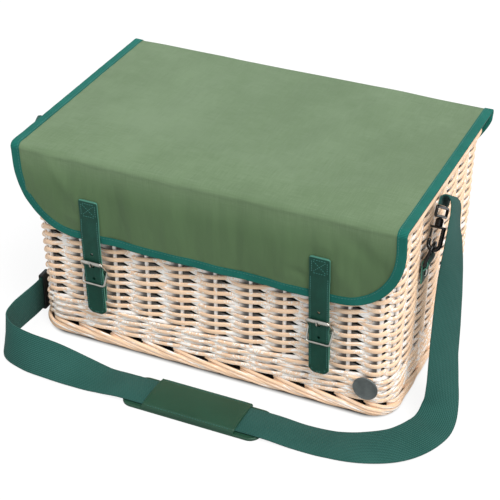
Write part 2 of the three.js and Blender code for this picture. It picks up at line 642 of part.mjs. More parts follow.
// The buckle's wire frame: a roller's bar above and a plain bar below lie before the
// strap, and the bar between them, which the anchor holds, lies behind it.
function makeBuckle(front, side, centre) {
  const low = BUCKLE_TOP - BUCKLE_HEIGHT;
  const bars = [];
  for (const x of [centre - BUCKLE_HALF, centre + BUCKLE_HALF]) {
    const corners = [
      [x, ROLLER_Y, BUCKLE_TOP],
      [x, MIDDLE_BAR_Y, BUCKLE_CENTRE_Z],
      [x, LOW_BAR_Y, low],
    ];
    bars.push(rod(corners[0], corners[1], WIRE_RADIUS, BAR_STEPS));
    bars.push(rod(corners[1], corners[2], WIRE_RADIUS, BAR_STEPS));
    for (const corner of corners) bars.push(ball(corner, WIRE_RADIUS));
  }
  for (const [y, z] of [[ROLLER_Y, BUCKLE_TOP], [MIDDLE_BAR_Y, BUCKLE_CENTRE_Z], [LOW_BAR_Y, low]]) {
    bars.push(rod([centre - BUCKLE_HALF, y, z], [centre + BUCKLE_HALF, y, z], WIRE_RADIUS, BAR_STEPS));
  }
  place(side + "_buckle_frame", join(...bars), silver, front);

  const rollerHalf = BUCKLE_HALF - WIRE_RADIUS - GAP;
  const tube = new THREE.Shape();
  tube.absarc(0, 0, ROLLER_RADIUS, 0, Math.PI * 2);
  const bore = new THREE.Path();
  bore.absarc(0, 0, WIRE_RADIUS + PIN_GAP, 0, Math.PI * 2);
  tube.holes.push(bore);
  const roller = extrude(tube, -rollerHalf, rollerHalf, ROUND_STEPS)
    .rotateY(Math.PI / 2)
    .translate(centre, ROLLER_Y, BUCKLE_TOP);
  place(side + "_buckle_roller", roller, silver, front);

  const ringRadius = WIRE_RADIUS + PIN_GAP + PRONG_RADIUS;
  const ring = new THREE.TorusGeometry(ringRadius, PRONG_RADIUS, BALL_ROWS, ROUND_STEPS)
    .rotateY(Math.PI / 2)
    .translate(centre, MIDDLE_BAR_Y, BUCKLE_CENTRE_Z);
  const reach = ROLLER_RADIUS + PRONG_RADIUS + GAP;
  const arm = wire(
    [
      [centre, MIDDLE_BAR_Y, BUCKLE_CENTRE_Z + ringRadius],
      [centre, STRAP_BACK + PRONG_RADIUS, PRONG_HOLE_Z - PRONG_RADIUS * PRONG_DIP_SHARE],
      [centre, STRAP_FRONT - PRONG_RADIUS, PRONG_HOLE_Z + PRONG_RADIUS * PRONG_RISE_SHARE],
      [centre, ROLLER_Y - reach * PRONG_BULGE_SHARES[0], BUCKLE_TOP - reach * PRONG_BULGE_SHARES[1]],
      [centre, ROLLER_Y - reach, BUCKLE_TOP - PRONG_RADIUS],
    ],
    PRONG_RADIUS,
  );
  place(side + "_buckle_prong", join(ring, arm), silver, front);
}

function makeClosures(front) {
  for (const [side, centre] of closureSides) {
    makeAnchor(side, centre);
    makeStrap(front, side, centre);
    makeBuckle(front, side, centre);
  }
}

const fittingSides = [
  ["left", -1],
  ["right", 1],
];

function hookTurn(side) {
  return -side * THREE.MathUtils.degToRad(HOOK_LEAN);
}

// The fitting on one end wall, drawn for the right side: a leather tab riveted to the
// wicker holds a ring, and the ring holds the snap hook.
function makeFitting(name, side) {
  const mirrored = new THREE.Group();
  mirrored.scale.x = side;
  basket.add(mirrored);

  const outline = loopedStrap(RING_BAR_X, RING_BAR_Z, RING_WIRE, TAB_THICK, TAB_LENGTH, TAB_FOLD);
  const tab = extrude(outline, -TAB_WIDTH / 2, TAB_WIDTH / 2, ROUND_STEPS)
    .rotateX(Math.PI / 2)
    .translate(0, FITTING_Y, 0);
  place(name + "_ring_tab", cut(tab, tabRivetBore(1)), leather, mirrored);
  const outer = RING_BAR_X - TAB_LOOP + TAB_THICK + GAP + RIVET_HEAD;
  const inset = RIM_THICK - RIM_PROUD + GAP + LINING_THICK;
  const inner = leanedX(WALL_HALF_X - inset, tabRivetZ) - GAP - RIVET_HEAD;
  place(name + "_tab_rivet", rivet(outer, inner, (u) => [u, FITTING_Y, tabRivetZ]), silver, mirrored);

  const half = RING_WIDTH / 2;
  const bow = [];
  for (let i = 0; i <= BEND_POINTS; i++) {
    const angle = (Math.PI * i) / BEND_POINTS;
    bow.push([0, -half * Math.cos(angle), RING_HEIGHT * Math.sin(angle)]);
  }
  const ends = [[0, -half, 0], [0, half, 0]];
  const ring = join(
    wire(bow, RING_WIRE),
    rod(...ends, RING_WIRE, BAR_STEPS),
    ...ends.map((end) => ball(end, RING_WIRE)),
  );
  ring.rotateY(RING_TILT).translate(RING_BAR_X, FITTING_Y, RING_BAR_Z);
  place(name + "_ring", ring, blackMetal, mirrored);

  const hook = new THREE.Group();
  hook.position.set(RING_X, FITTING_Y, RING_Z);
  hook.rotation.x = hookTurn(side);
  mirrored.add(hook);
  makeHook(name, hook);
}

function makeHook(name, hook) {
  const bend = [[HOOK_BEND, 0, BARREL_BOTTOM]];
  bend.push([HOOK_BEND, 0, BARREL_BOTTOM / 2]);
  for (let i = 0; i <= BEND_POINTS; i++) {
    const angle = (-Math.PI * i) / BEND_POINTS;
    bend.push([HOOK_BEND * Math.cos(angle), 0, HOOK_BEND * Math.sin(angle)]);
  }
  bend.push([-HOOK_BEND, 0, HOOK_NOSE]);
  const nose = ball([-HOOK_BEND, 0, HOOK_NOSE], HOOK_WIRE);
  const cheek = block(
    -HOOK_BEND - HOOK_WIRE,
    HOOK_BEND + HOOK_WIRE,
    -CHEEK_HALF,
    CHEEK_HALF,
    BARREL_BOTTOM - CHEEK_THICK,
    BARREL_BOTTOM,
  );
  const barrelTop = BARREL_BOTTOM + BARREL_HEIGHT;
  const barrel = rod([0, 0, BARREL_BOTTOM - GAP], [0, 0, barrelTop], BARREL_RADIUS);
  const bore = rod([0, 0, BARREL_BOTTOM + GAP], [0, 0, barrelTop + OVERRUN], STUD_RADIUS + PIN_GAP);
  const body = cut(join(wire(bend, HOOK_WIRE), nose, cheek, barrel), bore);
  place(name + "_hook_body", body, blackMetal, hook);

  const gateTop = BARREL_BOTTOM - CHEEK_THICK - GAP - GATE_WIRE;
  const gateEnd = HOOK_NOSE + HOOK_WIRE + GAP + GATE_WIRE;
  const gateX = -HOOK_BEND;
  const gateEnds = [[gateX, 0, gateEnd], [gateX, 0, gateTop]];
  const gate = join(
    rod(...gateEnds, GATE_WIRE, BAR_STEPS),
    ...gateEnds.map((end) => ball(end, GATE_WIRE)),
  );
  place(name + "_hook_gate", gate, blackMetal, hook);

  const corners = [
    [0, -EYE_HALF, EYE_LOW],
    [0, EYE_HALF, EYE_LOW],
    [0, EYE_HALF, EYE_HIGH],
    [0, -EYE_HALF, EYE_HIGH],
  ];
  const parts = corners.map((corner, i) => rod(corner, corners[(i + 1) % corners.length], EYE_WIRE, BAR_STEPS));
  for (const corner of corners) parts.push(ball(corner, EYE_WIRE));
  parts.push(rod([0, 0, BARREL_BOTTOM + GAP * 2], [0, 0, EYE_LOW], STUD_RADIUS));
  place(name + "_hook_eye", join(...parts), blackMetal, hook);
}

// The webbing's route from the left hook to the right one: the middle of the webbing
// in x, y and z, then the direction across it, towards its upper or inner edge.
const webbingRoute = [
  [-217.3, -79.4, 217.2, 0, 0.84, 0.54],
  [-222, -81, 219.5, 0, 0.84, 0.54],
  [-226.7, -79.4, 217.2, 0, 0.84, 0.54],
  [-229, -76.9, 213.2, 0, 0.84, 0.54],
  [-231, -70.3, 203.2, 0, 0.84, 0.54],
  [-233, -62.2, 190.6, -0.1, 0.84, 0.52],
  [-235, -46, 167, -0.3, 0.82, 0.45],
  [-237, -28, 138, -0.5, 0.78, 0.36],
  [-238.5, -10, 106, -0.75, 0.6, 0.22],
  [-239.5, 3, 73, -0.92, 0.36, 0.1],
  [-239, 8, 44, -1, 0.12, 0.02],
  [-238, 4, 21, -1, 0, 0],
  [-237, -9, 8.5, -1, 0, 0.1],
  [-233, -26, 11, -1, 0, 0.45],
  [-226, -46, 19.4, -0.6, 0, 0.8],
  [-221, -68, 22.6, 0, 0, 1],
  [-220, -88, 22.6, 0, 0, 1],
  [-220, -108, 22.4, 0, 0, 1],
  [-222, -130, 22, 0, 0.05, 1],
  [-223, -152, 21.8, 0, 0.15, 1],
  [-219, -172, 21.4, -0.05, 0.3, 1],
  [-206, -187, 20.6, 0, 0.4, 1],
  [-182, -193, 18.4, 0, 0.6, 1],
  [-152, -192, 14.6, 0, 1, 0.8],
  [-120, -189, 8, 0, 1, 0.32],
  [-92, -187, 3.8, 0, 1, 0.06],
  [-66, -186.5, 4.8, 0, 1, 0],
  [-30, -186.5, 4.8, 0, 1, 0],
  [17, -186.5, 4.8, 0, 1, 0],
  [64, -186.5, 4.8, 0, 1, 0],
  [100, -186, 4.6, 0, 1, 0],
  [132, -185, 1.8, 0, 1, 0],
  [166, -183.5, 2.6, -0.05, 1, 0.05],
  [198, -178, 6, -0.25, 1, 0.2],
  [226, -163, 8, -0.7, 0.8, 0.3],
  [243, -139, 8.8, -1, 0.2, 0.35],
  [249, -115, 8.6, -1, -0.35, 0.3],
  [249, -98, 18, -0.8, -0.75, 0.1],
  [246, -87, 38, -0.6, -0.9, 0],
  [242, -77, 64, -0.5, -0.95, 0],
  [239, -66, 92, -0.5, -0.95, 0],
  [237, -59, 122, -0.45, -0.95, 0.05],
  [235.5, -54, 148, -0.36, -0.95, 0.15],
  [234.5, -50.5, 170, -0.22, -0.9, 0.3],
  [233, -45.8, 190.6, -0.08, -0.85, 0.48],
  [231, -37.7, 203.2, 0, -0.84, 0.54],
  [229, -31.1, 213.2, 0, -0.84, 0.54],
  [226.7, -28.6, 217.2, 0, -0.84, 0.54],
  [222, -27, 219.5, 0, -0.84, 0.54],
  [217.3, -28.6, 217.2, 0, -0.84, 0.54],
];

// The webbing is a straight flat bar bent along its route and turned to each direction.
function makeWebbing() {
  const turned = (side, x, y, z) =>
    new THREE.Vector3(x, y, z).applyAxisAngle(new THREE.Vector3(1, 0, 0), hookTurn(side));
  const end = (side, beyond) =>
    turned(side, 0, 0, EYE_HIGH + beyond).add(new THREE.Vector3(side * RING_X, FITTING_Y, RING_Z));
  const meet = EYE_WIRE + GAP;
  const straight = meet + WEBBING_THICK * 2;
  const middle = webbingRoute.map(([x, y, z]) => new THREE.Vector3(x, y, z));
  const sides = webbingRoute.map(([, , , x, y, z]) => new THREE.Vector3(x, y, z));
  middle.unshift(end(-1, meet), end(-1, straight));
  const start = turned(-1, 0, 1, 0);
  sides.unshift(start, start);
  const back = turned(1, 0, -1, 0);
  middle.push(end(1, straight), end(1, meet));
  sides.push(back, back);
  const route = new THREE.CatmullRomCurve3(middle, false, "centripetal");
  const lengths = middle.length - 1;
  const steps = lengths * WEBBING_STEPS;
  const bar = new THREE.BoxGeometry(1, WEBBING_WIDTH, WEBBING_THICK, steps, WEBBING_DIVISIONS, 1);
  const at = bar.attributes.position;
  for (let i = 0; i < at.count; i++) {
    const t = at.getX(i) + 0.5;
    const share = t * lengths;
    const k = Math.min(Math.floor(share), lengths - 1);
    const point = route.getPoint(t);
    const along = route.getTangent(t);
    const wide = sides[k].clone().normalize().lerp(sides[k + 1].clone().normalize(), share - k);
    wide.addScaledVector(along, -wide.dot(along)).normalize();
    const thick = along.clone().cross(wide);
    point.addScaledVector(wide, at.getY(i)).addScaledVector(thick, at.getZ(i));
    at.setXYZ(i, point.x, point.y, point.z);
  }
  place("shoulder_webbing", bar, webbing);
}

// The pad's base has round edges, and its cover is crowned and sewn down along both sides
// of the webbing.
function makePad() {
  const halfLength = PAD_LENGTH / 2;
  const halfWidth = PAD_WIDTH / 2;
  const flat = roundedRectangle(
    halfLength - PAD_BASE_EDGE,
    halfWidth - PAD_BASE_EDGE,
    PAD_CORNER - PAD_BASE_EDGE,
  );
  const base = new THREE.ExtrudeGeometry(flat, {
    depth: PAD_BASE_THICK - PAD_BASE_EDGE * 2,
    bevelThickness: PAD_BASE_EDGE,
    bevelSize: PAD_BASE_EDGE,
    bevelSegments: CORNER_STEPS,
    curveSegments: CORNER_STEPS,
  });
  place("pad_base", base.translate(PAD_CENTRE_X, PAD_CENTRE_Y, PAD_BASE_EDGE), webbing);
  const coverLow = PAD_BASE_THICK + GAP;
  const channelTop = coverLow + WEBBING_THICK + GAP;
  const coverHalf = PAD_COVER_LENGTH / 2;
  const crown = new THREE.Shape();
  crown.moveTo(-halfWidth, coverLow);
  crown.lineTo(halfWidth, coverLow);
  crown.lineTo(halfWidth, channelTop + PAD_COVER_EDGE);
  const pull = channelTop + PAD_COVER_THICK * 2 - PAD_COVER_EDGE;
  crown.quadraticCurveTo(0, pull, -halfWidth, channelTop + PAD_COVER_EDGE);
  const cover = extrude(crown, -coverHalf, coverHalf, ROUND_STEPS).rotateX(Math.PI / 2).rotateZ(Math.PI / 2);
  const channelHalf = WEBBING_WIDTH / 2 + GAP;
  const channel = block(
    -coverHalf - OVERRUN,
    coverHalf + OVERRUN,
    -channelHalf,
    channelHalf,
    coverLow - OVERRUN,
    channelTop,
  );
  place("pad_cover", cut(cover, channel).translate(PAD_CENTRE_X, PAD_CENTRE_Y, 0), webbing);
}

function makeSlider() {
  const [x, , z] = webbingRoute.find(([, y]) => y === SLIDER_Y);
  const innerX = WEBBING_THICK / 2 + GAP;
  const innerZ = WEBBING_WIDTH / 2 + GAP;
  const halfY = SLIDER_LENGTH / 2;
  const frame = block(
    -innerX - SLIDER_WALL,
    innerX + SLIDER_WALL,
    -halfY,
    halfY,
    -innerZ - SLIDER_WALL,
    innerZ + SLIDER_WALL,
  );
  const slot = block(-innerX, innerX, -halfY - OVERRUN, halfY + OVERRUN, -innerZ, innerZ);
  place("strap_slider", cut(frame, slot).translate(x, SLIDER_Y, z), blackMetal);
}

function makeBadge() {
  const face = leanedY(-(WALL_HALF_Y + WALE_PROUD), BADGE_Z) - GAP;
  const stud = WALL_THICK + GAP;
  const badge = join(
    rod([BADGE_X, face - BADGE_THICK, BADGE_Z], [BADGE_X, face, BADGE_Z], BADGE_RADIUS, BADGE_STEPS),
    rod([BADGE_X, face - BADGE_THICK / 2, BADGE_Z], [BADGE_X, face + stud, BADGE_Z], BADGE_STUD_RADIUS),
  );
  place("badge", badge, badgeMetal);
}

const leaningFront = new THREE.Group();
leaningFront.position.set(0, FLAP_Y, FOLD_Z);
leaningFront.rotation.x = LEAN_ANGLE;
basket.add(leaningFront);
const front = new THREE.Group();
front.position.set(0, -FLAP_Y, -FOLD_Z);
leaningFront.add(front);

makeWicker();
makeLining();
makeLid();
makeFlap(front);
makeRearDrop();
makeClosures(front);
for (const [name, side] of fittingSides) makeFitting(name, side);
makeBadge();

// The origin lies under the middle of everything but the shoulder strap.
const reach = new THREE.Box3().setFromObject(basket, true);
basket.position.y = -(reach.min.y + reach.max.y) / 2;

makeWebbing();
makePad();
makeSlider();

export default basket;
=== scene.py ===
# %% [markdown]
# # A willow picnic basket with a canvas lid
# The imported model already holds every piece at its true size, and says which pieces move. This
# notebook dresses it: each piece is made again as a fine surface in the same place, in the same
# frame, and gets the finish of the real material. The frame comes first, because everything that
# follows is measured from it.

import math

import bpy
import numpy as np
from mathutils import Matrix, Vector


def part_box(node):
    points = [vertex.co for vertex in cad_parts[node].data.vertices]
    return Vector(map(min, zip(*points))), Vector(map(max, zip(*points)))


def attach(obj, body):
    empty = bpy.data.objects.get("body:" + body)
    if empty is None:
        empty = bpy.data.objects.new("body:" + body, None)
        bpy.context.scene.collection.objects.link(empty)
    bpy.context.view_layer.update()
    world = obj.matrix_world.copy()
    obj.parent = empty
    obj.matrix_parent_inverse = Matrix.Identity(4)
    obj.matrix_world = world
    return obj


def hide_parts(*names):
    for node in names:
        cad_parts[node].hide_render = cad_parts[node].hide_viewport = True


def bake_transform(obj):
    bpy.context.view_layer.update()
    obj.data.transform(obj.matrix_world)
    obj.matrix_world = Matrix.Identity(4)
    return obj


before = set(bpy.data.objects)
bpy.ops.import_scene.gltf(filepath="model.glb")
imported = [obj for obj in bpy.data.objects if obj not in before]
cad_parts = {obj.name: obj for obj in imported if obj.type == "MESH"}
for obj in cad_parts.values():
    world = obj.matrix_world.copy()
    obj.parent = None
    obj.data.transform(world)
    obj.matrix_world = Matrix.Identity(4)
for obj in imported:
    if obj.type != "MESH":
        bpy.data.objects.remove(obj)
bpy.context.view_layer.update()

# %% [markdown]
# ## The camera
# A product photograph is taken with a long lens from above the front right corner. The camera's
# place was worked out from the corners of the lid and the foot: a long lens keeps parallel edges
# nearly parallel, so the basket looks like a box and not like a wedge.

# %% Set the camera
LOOK_AT = Vector((0.017685, -0.052726, 0.1192))
CAMERA_AZIMUTH, CAMERA_ELEVATION = 24.394, 32.806  # degrees
CAMERA_DISTANCE = 1.619113
LENS_MM, SENSOR_MM = 110.835, 36


def direction(azimuth, elevation):
    """The way from the basket to a place at an azimuth, counted from the front to the right, and
    at an elevation, both in degrees."""
    azimuth, elevation = math.radians(azimuth), math.radians(elevation)
    level = math.cos(elevation)
    return Vector((math.sin(azimuth) * level, -math.cos(azimuth) * level, math.sin(elevation)))


def add_object(name, data):
    """An object with that data, linked to the scene."""
    made = bpy.data.objects.new(name, data)
    scene.collection.objects.link(made)
    return made


scene = bpy.context.scene
camera = add_object("camera", bpy.data.cameras.new("camera"))
camera.data.lens = LENS_MM
camera.data.sensor_width = SENSOR_MM
camera_way = direction(CAMERA_AZIMUTH, CAMERA_ELEVATION)
camera.location = LOOK_AT + camera_way * CAMERA_DISTANCE
camera.rotation_euler = camera_way.to_track_quat("Z", "Y").to_euler()
scene.camera = camera
scene.view_settings.view_transform = "Standard"
print("camera at", [round(v, 3) for v in camera.location])

# %% [markdown]
# ## Surfaces from arrays
# Nearly every piece here is one idea: a cross-section carried along a path. Rods, wires, straps,
# tape and thread differ only in the path and the section. So the notebook has one class that
# gathers grids of points into a mesh, and one function that sweeps a section. Sizes below are in
# millimetres, measured from the middle of the wicker; the mesh is written in metres.

# %% Places and shares
MM = 0.001
MIDDLE = np.array([0, 3.3711, 0])  # the middle of the wicker in the frame, in millimetres


def to_frame(places):
    """Millimetres from the middle of the wicker as metres in the frame."""
    return (np.asarray(places) + MIDDLE) * MM


def node_box(node):
    """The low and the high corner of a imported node, in millimetres from the wicker's middle."""
    return [np.array(corner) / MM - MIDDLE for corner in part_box(node)]


def bend(start, end):
    return {"start": tuple(to_frame(start).tolist()), "end": tuple(to_frame(end).tolist())}


def points(*parts):
    """Numbers and lists of numbers, one for each coordinate, as one array of points."""
    return np.stack(np.broadcast_arrays(*parts), -1)


def unit(v):
    """Each vector divided by its own length."""
    return v / np.maximum(np.linalg.norm(v, axis=-1, keepdims=True), 1e-12)


def ramp(value, start, length):
    """0 up to start, 1 from start + length on, and straight between them."""
    return np.clip((np.asarray(value, float) - start) / length, 0, 1)


def smooth(share):
    """3 share^2 - 2 share^3, which leaves 0 and reaches 1 level."""
    return share * share * (3 - 2 * share)


def hump(distance, width, power=2):
    """exp(-(distance / width)^power): 1 in the middle, and almost nothing beyond the width."""
    return np.exp(-((distance / width) ** power))


# %% Gather grids into one mesh
class Surfaces:
    """Grids of points gathered into one mesh. Each cell of a grid is a quad, each point keeps
    its own `front` and `tone` for the finish, and the UV map Run holds metres along and across."""

    def __init__(self):
        self.points, self.faces, self.uvs, self.count = [], [], [], 0
        self.values = {"front": [], "tone": []}

    def add(self, grids, u, v, closed=(False, False), front=0.0, tone=0.5, caps=False):
        """grids is (n, rows, columns, 3), n separate surfaces of one shape. A closed direction
        joins its last line of points to its first; u and v then have one value more."""
        n, rows, columns = grids.shape[:3]
        index = self.count + np.arange(n * rows * columns).reshape(n, rows, columns)
        self.points.append(grids.reshape(-1, 3))
        for key, value in (("front", front), ("tone", tone)):
            self.values[key].append(np.broadcast_to(value, (n, rows, columns)).ravel())
        self.count += index.size
        rings = index
        if closed[0]:
            index = np.concatenate([index, index[:, :1]], 1)
        if closed[1]:
            index = np.concatenate([index, index[:, :, :1]], 2)
        u = np.broadcast_to(u, (n, index.shape[1]))[:, :, None]
        v = np.broadcast_to(v, (n, index.shape[2]))[:, None, :]
        at = points(u, v)
        corners = lambda a: np.stack([a[:, :-1, :-1], a[:, :-1, 1:], a[:, 1:, 1:], a[:, 1:, :-1]], 3)
        self.faces.append(corners(index).reshape(-1, 4))
        self.uvs.append(corners(at).reshape(-1, 2))
        if caps:
            for ring, line in ((rings[:, 0, ::-1], at[:, 0, :1]), (rings[:, -1], at[:, -1, :1])):
                self.faces.append(ring)
                self.uvs.append(np.repeat(line, columns, 1).reshape(-1, 2))
        return self

    def mesh(self, name):
        """The gathered points and faces as a mesh in the frame."""
        mesh = bpy.data.meshes.new(name)
        faces = [face for block in self.faces for face in block.tolist()]
        mesh.from_pydata(to_frame(np.concatenate(self.points)).tolist(), [], faces)
        return mesh

    def piece(self, name, finish, slot, stands_for=(), body="basket", sharp=42):
        """The gathered surfaces as an object that rides on a body. Faces that meet at more than
        `sharp` degrees keep a hard edge."""
        mesh = self.mesh(name)
        run = mesh.uv_layers.new(name="Run")
        run.data.foreach_set("uv", (np.concatenate(self.uvs) * MM).ravel())
        for key, value in self.values.items():
            mesh.attributes.new(key, "FLOAT", "POINT").data.foreach_set("value", np.concatenate(value))
        mesh.polygons.foreach_set("use_smooth", np.ones(len(mesh.polygons), bool))
        mesh.set_sharp_from_angle(angle=math.radians(sharp))
        mesh.materials.append(finish)
        piece = add_object(name, mesh)
        if stands_for:
            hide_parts(*stands_for)
        if body:
            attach(piece, body)
        triangles = sum(len(face.vertices) - 2 for face in mesh.polygons)
        print(f"{name}: {len(mesh.vertices)} points, {triangles} triangles")
        return piece


# %% Sweep a section along a path
def run_length(path, closed=False):
    """Distance along each path from its first point: the running sum of the steps."""
    steps = np.linalg.norm(np.diff(path, axis=-2), axis=-1)
    if closed:
        last = np.linalg.norm(path[..., :1, :] - path[..., -1:, :], axis=-1)
        steps = np.concatenate([steps, last], -1)
    return np.concatenate([np.zeros(steps.shape[:-1] + (1,)), np.cumsum(steps, -1)], -1)


def heading(path, closed=False):
    """The direction of a path at each point: the next point minus the one before."""
    if closed:
        return unit(np.roll(path, -1, -2) - np.roll(path, 1, -2))
    return unit(np.gradient(path, axis=-2))


def sweep(surfaces, path, section, out, closed=False, **values):
    """Adds one sweep, or as many as path has paths of one length. Its point is P + a N + b B: P
    on the path with direction T, N is `out` made square to T, B = T x N, and (a, b) is the
    section, which runs anticlockwise."""
    path = np.asarray(path, float)
    path = path if path.ndim == 3 else path[None]
    way = heading(path, closed)
    out = np.broadcast_to(np.asarray(out, float), path.shape)
    normal = unit(out - (out * way).sum(-1, keepdims=True) * way)[..., None, :]
    across = np.cross(way[..., None, :], normal)
    grids = path[..., None, :] + section[..., 0:1] * normal + section[..., 1:2] * across
    around = section.reshape(-1, section.shape[-2], 2)[0]
    edge = run_length(np.concatenate([around, around[:1]]))
    along = run_length(path, closed)
    return surfaces.add(grids, along, edge, (closed, True), caps=not closed, **values)


def ellipse(a, b, sides):
    """(a cos t, b sin t) for a full turn."""
    t = np.linspace(0, 2 * np.pi, sides, endpoint=False)
    return points(a * np.cos(t), b * np.sin(t))


def rounded(a, b, radius, along_a=2, along_b=2, corner=3):
    """A rectangle of half sizes a and b with round corners, anticlockwise from its right side."""
    quarter = np.linspace(0, np.pi / 2, corner)
    corners = ((1, 1, along_a), (-1, 1, along_b), (-1, -1, along_a), (1, -1, along_b))
    sides = []
    for k, (sign_a, sign_b, steps) in enumerate(corners):
        turned_by = quarter + k * np.pi / 2
        middle = np.array([sign_a * (a - radius), sign_b * (b - radius)])
        arc = middle + radius * points(np.cos(turned_by), np.sin(turned_by))
        straight = np.array([(-1, 0), (0, -1), (1, 0), (0, 1)][k]) * 2 * ((a, b)[k % 2] - radius)
        sides += [arc, arc[-1] + straight * np.linspace(0, 1, steps + 1)[1:-1, None]]
    return np.concatenate(sides)


def curve_through(knots, samples, closed=False):
    """A centripetal Catmull-Rom curve: it passes through every point, and the weight of a step
    is the square root of its length, so that close points don't make it swing out."""
    p = np.asarray(knots, float)
    if closed:
        p = np.concatenate([p[-1:], p, p[:2]])
    else:
        p = np.concatenate([2 * p[:1] - p[1:2], p, 2 * p[-1:] - p[-2:-1]])
    d = np.linalg.norm(np.diff(p[:, :3], axis=0), axis=-1)[:, None] ** 0.5
    a, b, c, e = p[:-3], p[1:-2], p[2:-1], p[3:]
    d0, d1, d2 = d[:-2], d[1:-1], d[2:]
    leave = ((b - a) / d0 - (c - a) / (d0 + d1) + (c - b) / d1) * d1
    arrive = ((c - b) / d1 - (e - b) / (d1 + d2) + (e - c) / d2) * d1
    t = np.linspace(0, 1, samples, endpoint=False)[:, None, None]
    curve = (2 * t**3 - 3 * t**2 + 1) * b + (t**3 - 2 * t**2 + t) * leave
    curve = curve + (3 * t**2 - 2 * t**3) * c + (t**3 - t**2) * arrive
    curve = curve.transpose(1, 0, 2).reshape(-1, p.shape[1])
    return curve if closed else np.concatenate([curve, p[-2:-1]])


# %% [markdown]
# ## Finishes as sums
# A finish is a small sum of masks: where is the surface worn, which thread lies on top, how far
# is this point from the edge. Blender builds such sums from Math nodes. To write them like
# arithmetic, a Value wraps a socket and turns + - * / into nodes, and a Finish holds the material.


# %% Values and finishes
def maths(operation, swapped=False):
    """A method of Value that makes a Math node of itself and the other terms. With swapped the
    other terms come first, as in 1 - value."""

    def method(self, *others):
        terms = (*others, self) if swapped else (self, *others)
        return self.finish.node("Math", {"operation": operation}, dict(enumerate(terms)))

    return method


class Value:
    """One output socket that takes part in sums."""

    def __init__(self, finish, socket):
        self.finish, self.socket = finish, socket

    __add__ = __radd__ = maths("ADD")
    __sub__, __rsub__ = maths("SUBTRACT"), maths("SUBTRACT", swapped=True)
    __mul__ = __rmul__ = maths("MULTIPLY")
    __truediv__ = maths("DIVIDE")
    __pow__, __rpow__ = maths("POWER"), maths("POWER", swapped=True)
    sine, at_least = maths("SINE"), maths("MAXIMUM")
    size, whole = maths("ABSOLUTE"), maths("ROUND")  # without its sign, and the nearest whole number

    def wave(self, step):
        """A wave from 0 to 1 that repeats after each step."""
        return (self * (2 * math.pi / step)).sine() * 0.5 + 0.5


class Finish:
    """A material: its shader's constants are set once, and nodes feed what varies."""

    def __init__(self, name, colour, roughness, **constants):
        self.material = bpy.data.materials.new(name)
        self.material.use_nodes = True
        self.nodes = self.material.node_tree.nodes
        self.links = self.material.node_tree.links
        self.shader = self.nodes["Principled BSDF"]
        self.feed(Base_Color=colour, Roughness=roughness, **constants)

    def node(self, kind, settings=None, inputs=None, output=0):
        """A node of that type: its settings first, then its sockets."""
        node = self.nodes.new("ShaderNode" + kind)
        for key, value in (settings or {}).items():
            setattr(node, key, value)
        for key, value in (inputs or {}).items():
            self.join(value, node.inputs[key])
        return Value(self, node.outputs[output])

    def join(self, value, socket):
        """Links a Value to a socket, or sets the socket's own number or colour."""
        if isinstance(value, Value):
            self.links.new(value.socket, socket)
        elif isinstance(value, tuple) and len(value) == 3 and len(socket.default_value) == 4:
            socket.default_value = (*value, 1)
        else:
            socket.default_value = value

    def feed(self, **inputs):
        """Gives the shader's sockets their values, and returns the material."""
        for key, value in inputs.items():
            self.join(value, self.shader.inputs[key.replace("_", " ")])
        return self.material

    def attribute(self, name):
        """A piece's own values, `front` or `tone`."""
        return self.node("Attribute", {"attribute_name": name}, output=2)

    def run(self):
        """The UV map Run, in metres, as (along, across)."""
        split = self.node("SeparateXYZ", {}, {0: self.node("UVMap", {"uv_map": "Run"})})
        return split, Value(self, split.socket.node.outputs[1])

    def point(self, *parts):
        """A point from its coordinates."""
        return self.node("CombineXYZ", {}, dict(enumerate(parts)))

    def place(self):
        """The point on the object, in metres."""
        return self.node("TexCoord", output=3)

    def noise(self, scale, detail=2.0, at=None, stretch=None, roughness=0.5):
        """Soft noise from 0 to 1 that repeats about `scale` times in a metre."""
        at = at or self.place()
        if stretch:
            at = self.node("Mapping", {}, {"Vector": at, "Scale": stretch})
        inputs = {"Vector": at, "Scale": scale, "Detail": detail, "Roughness": roughness}
        return self.node("TexNoise", {}, inputs)

    def between(self, value, low, high):
        """0 where value is below low, 1 above high, and smooth between them."""
        settings = {"interpolation_type": "SMOOTHSTEP"}
        return self.node("MapRange", settings, {0: value, 1: low, 2: high})

    def blend(self, share, first, second):
        """first where share is 0 and second where it is 1."""
        return self.node("Mix", {"data_type": "RGBA"}, {0: share, 6: first, 7: second}, output=2)

    def bump(self, height, depth, strength):
        """Turns a height from 0 to 1 into shading, for relief `depth` metres deep."""
        inputs = {"Height": height, "Distance": depth, "Strength": strength}
        return self.node("Bump", {}, inputs)


# %% [markdown]
# ## The shoulder strap
# Polyester webbing is woven on a narrow loom: stout ribs run along it, and finer threads cross
# them. It is 40 mm wide, it doesn't stretch, and it bends flat far more easily than edgewise, so
# it twists where it has to turn a corner. A ribbon swept along the model's own route keeps its
# width, and a second vector at each point says which way its width lies. The photograph shows it
# from end to end except behind the basket, so that is its whole length.

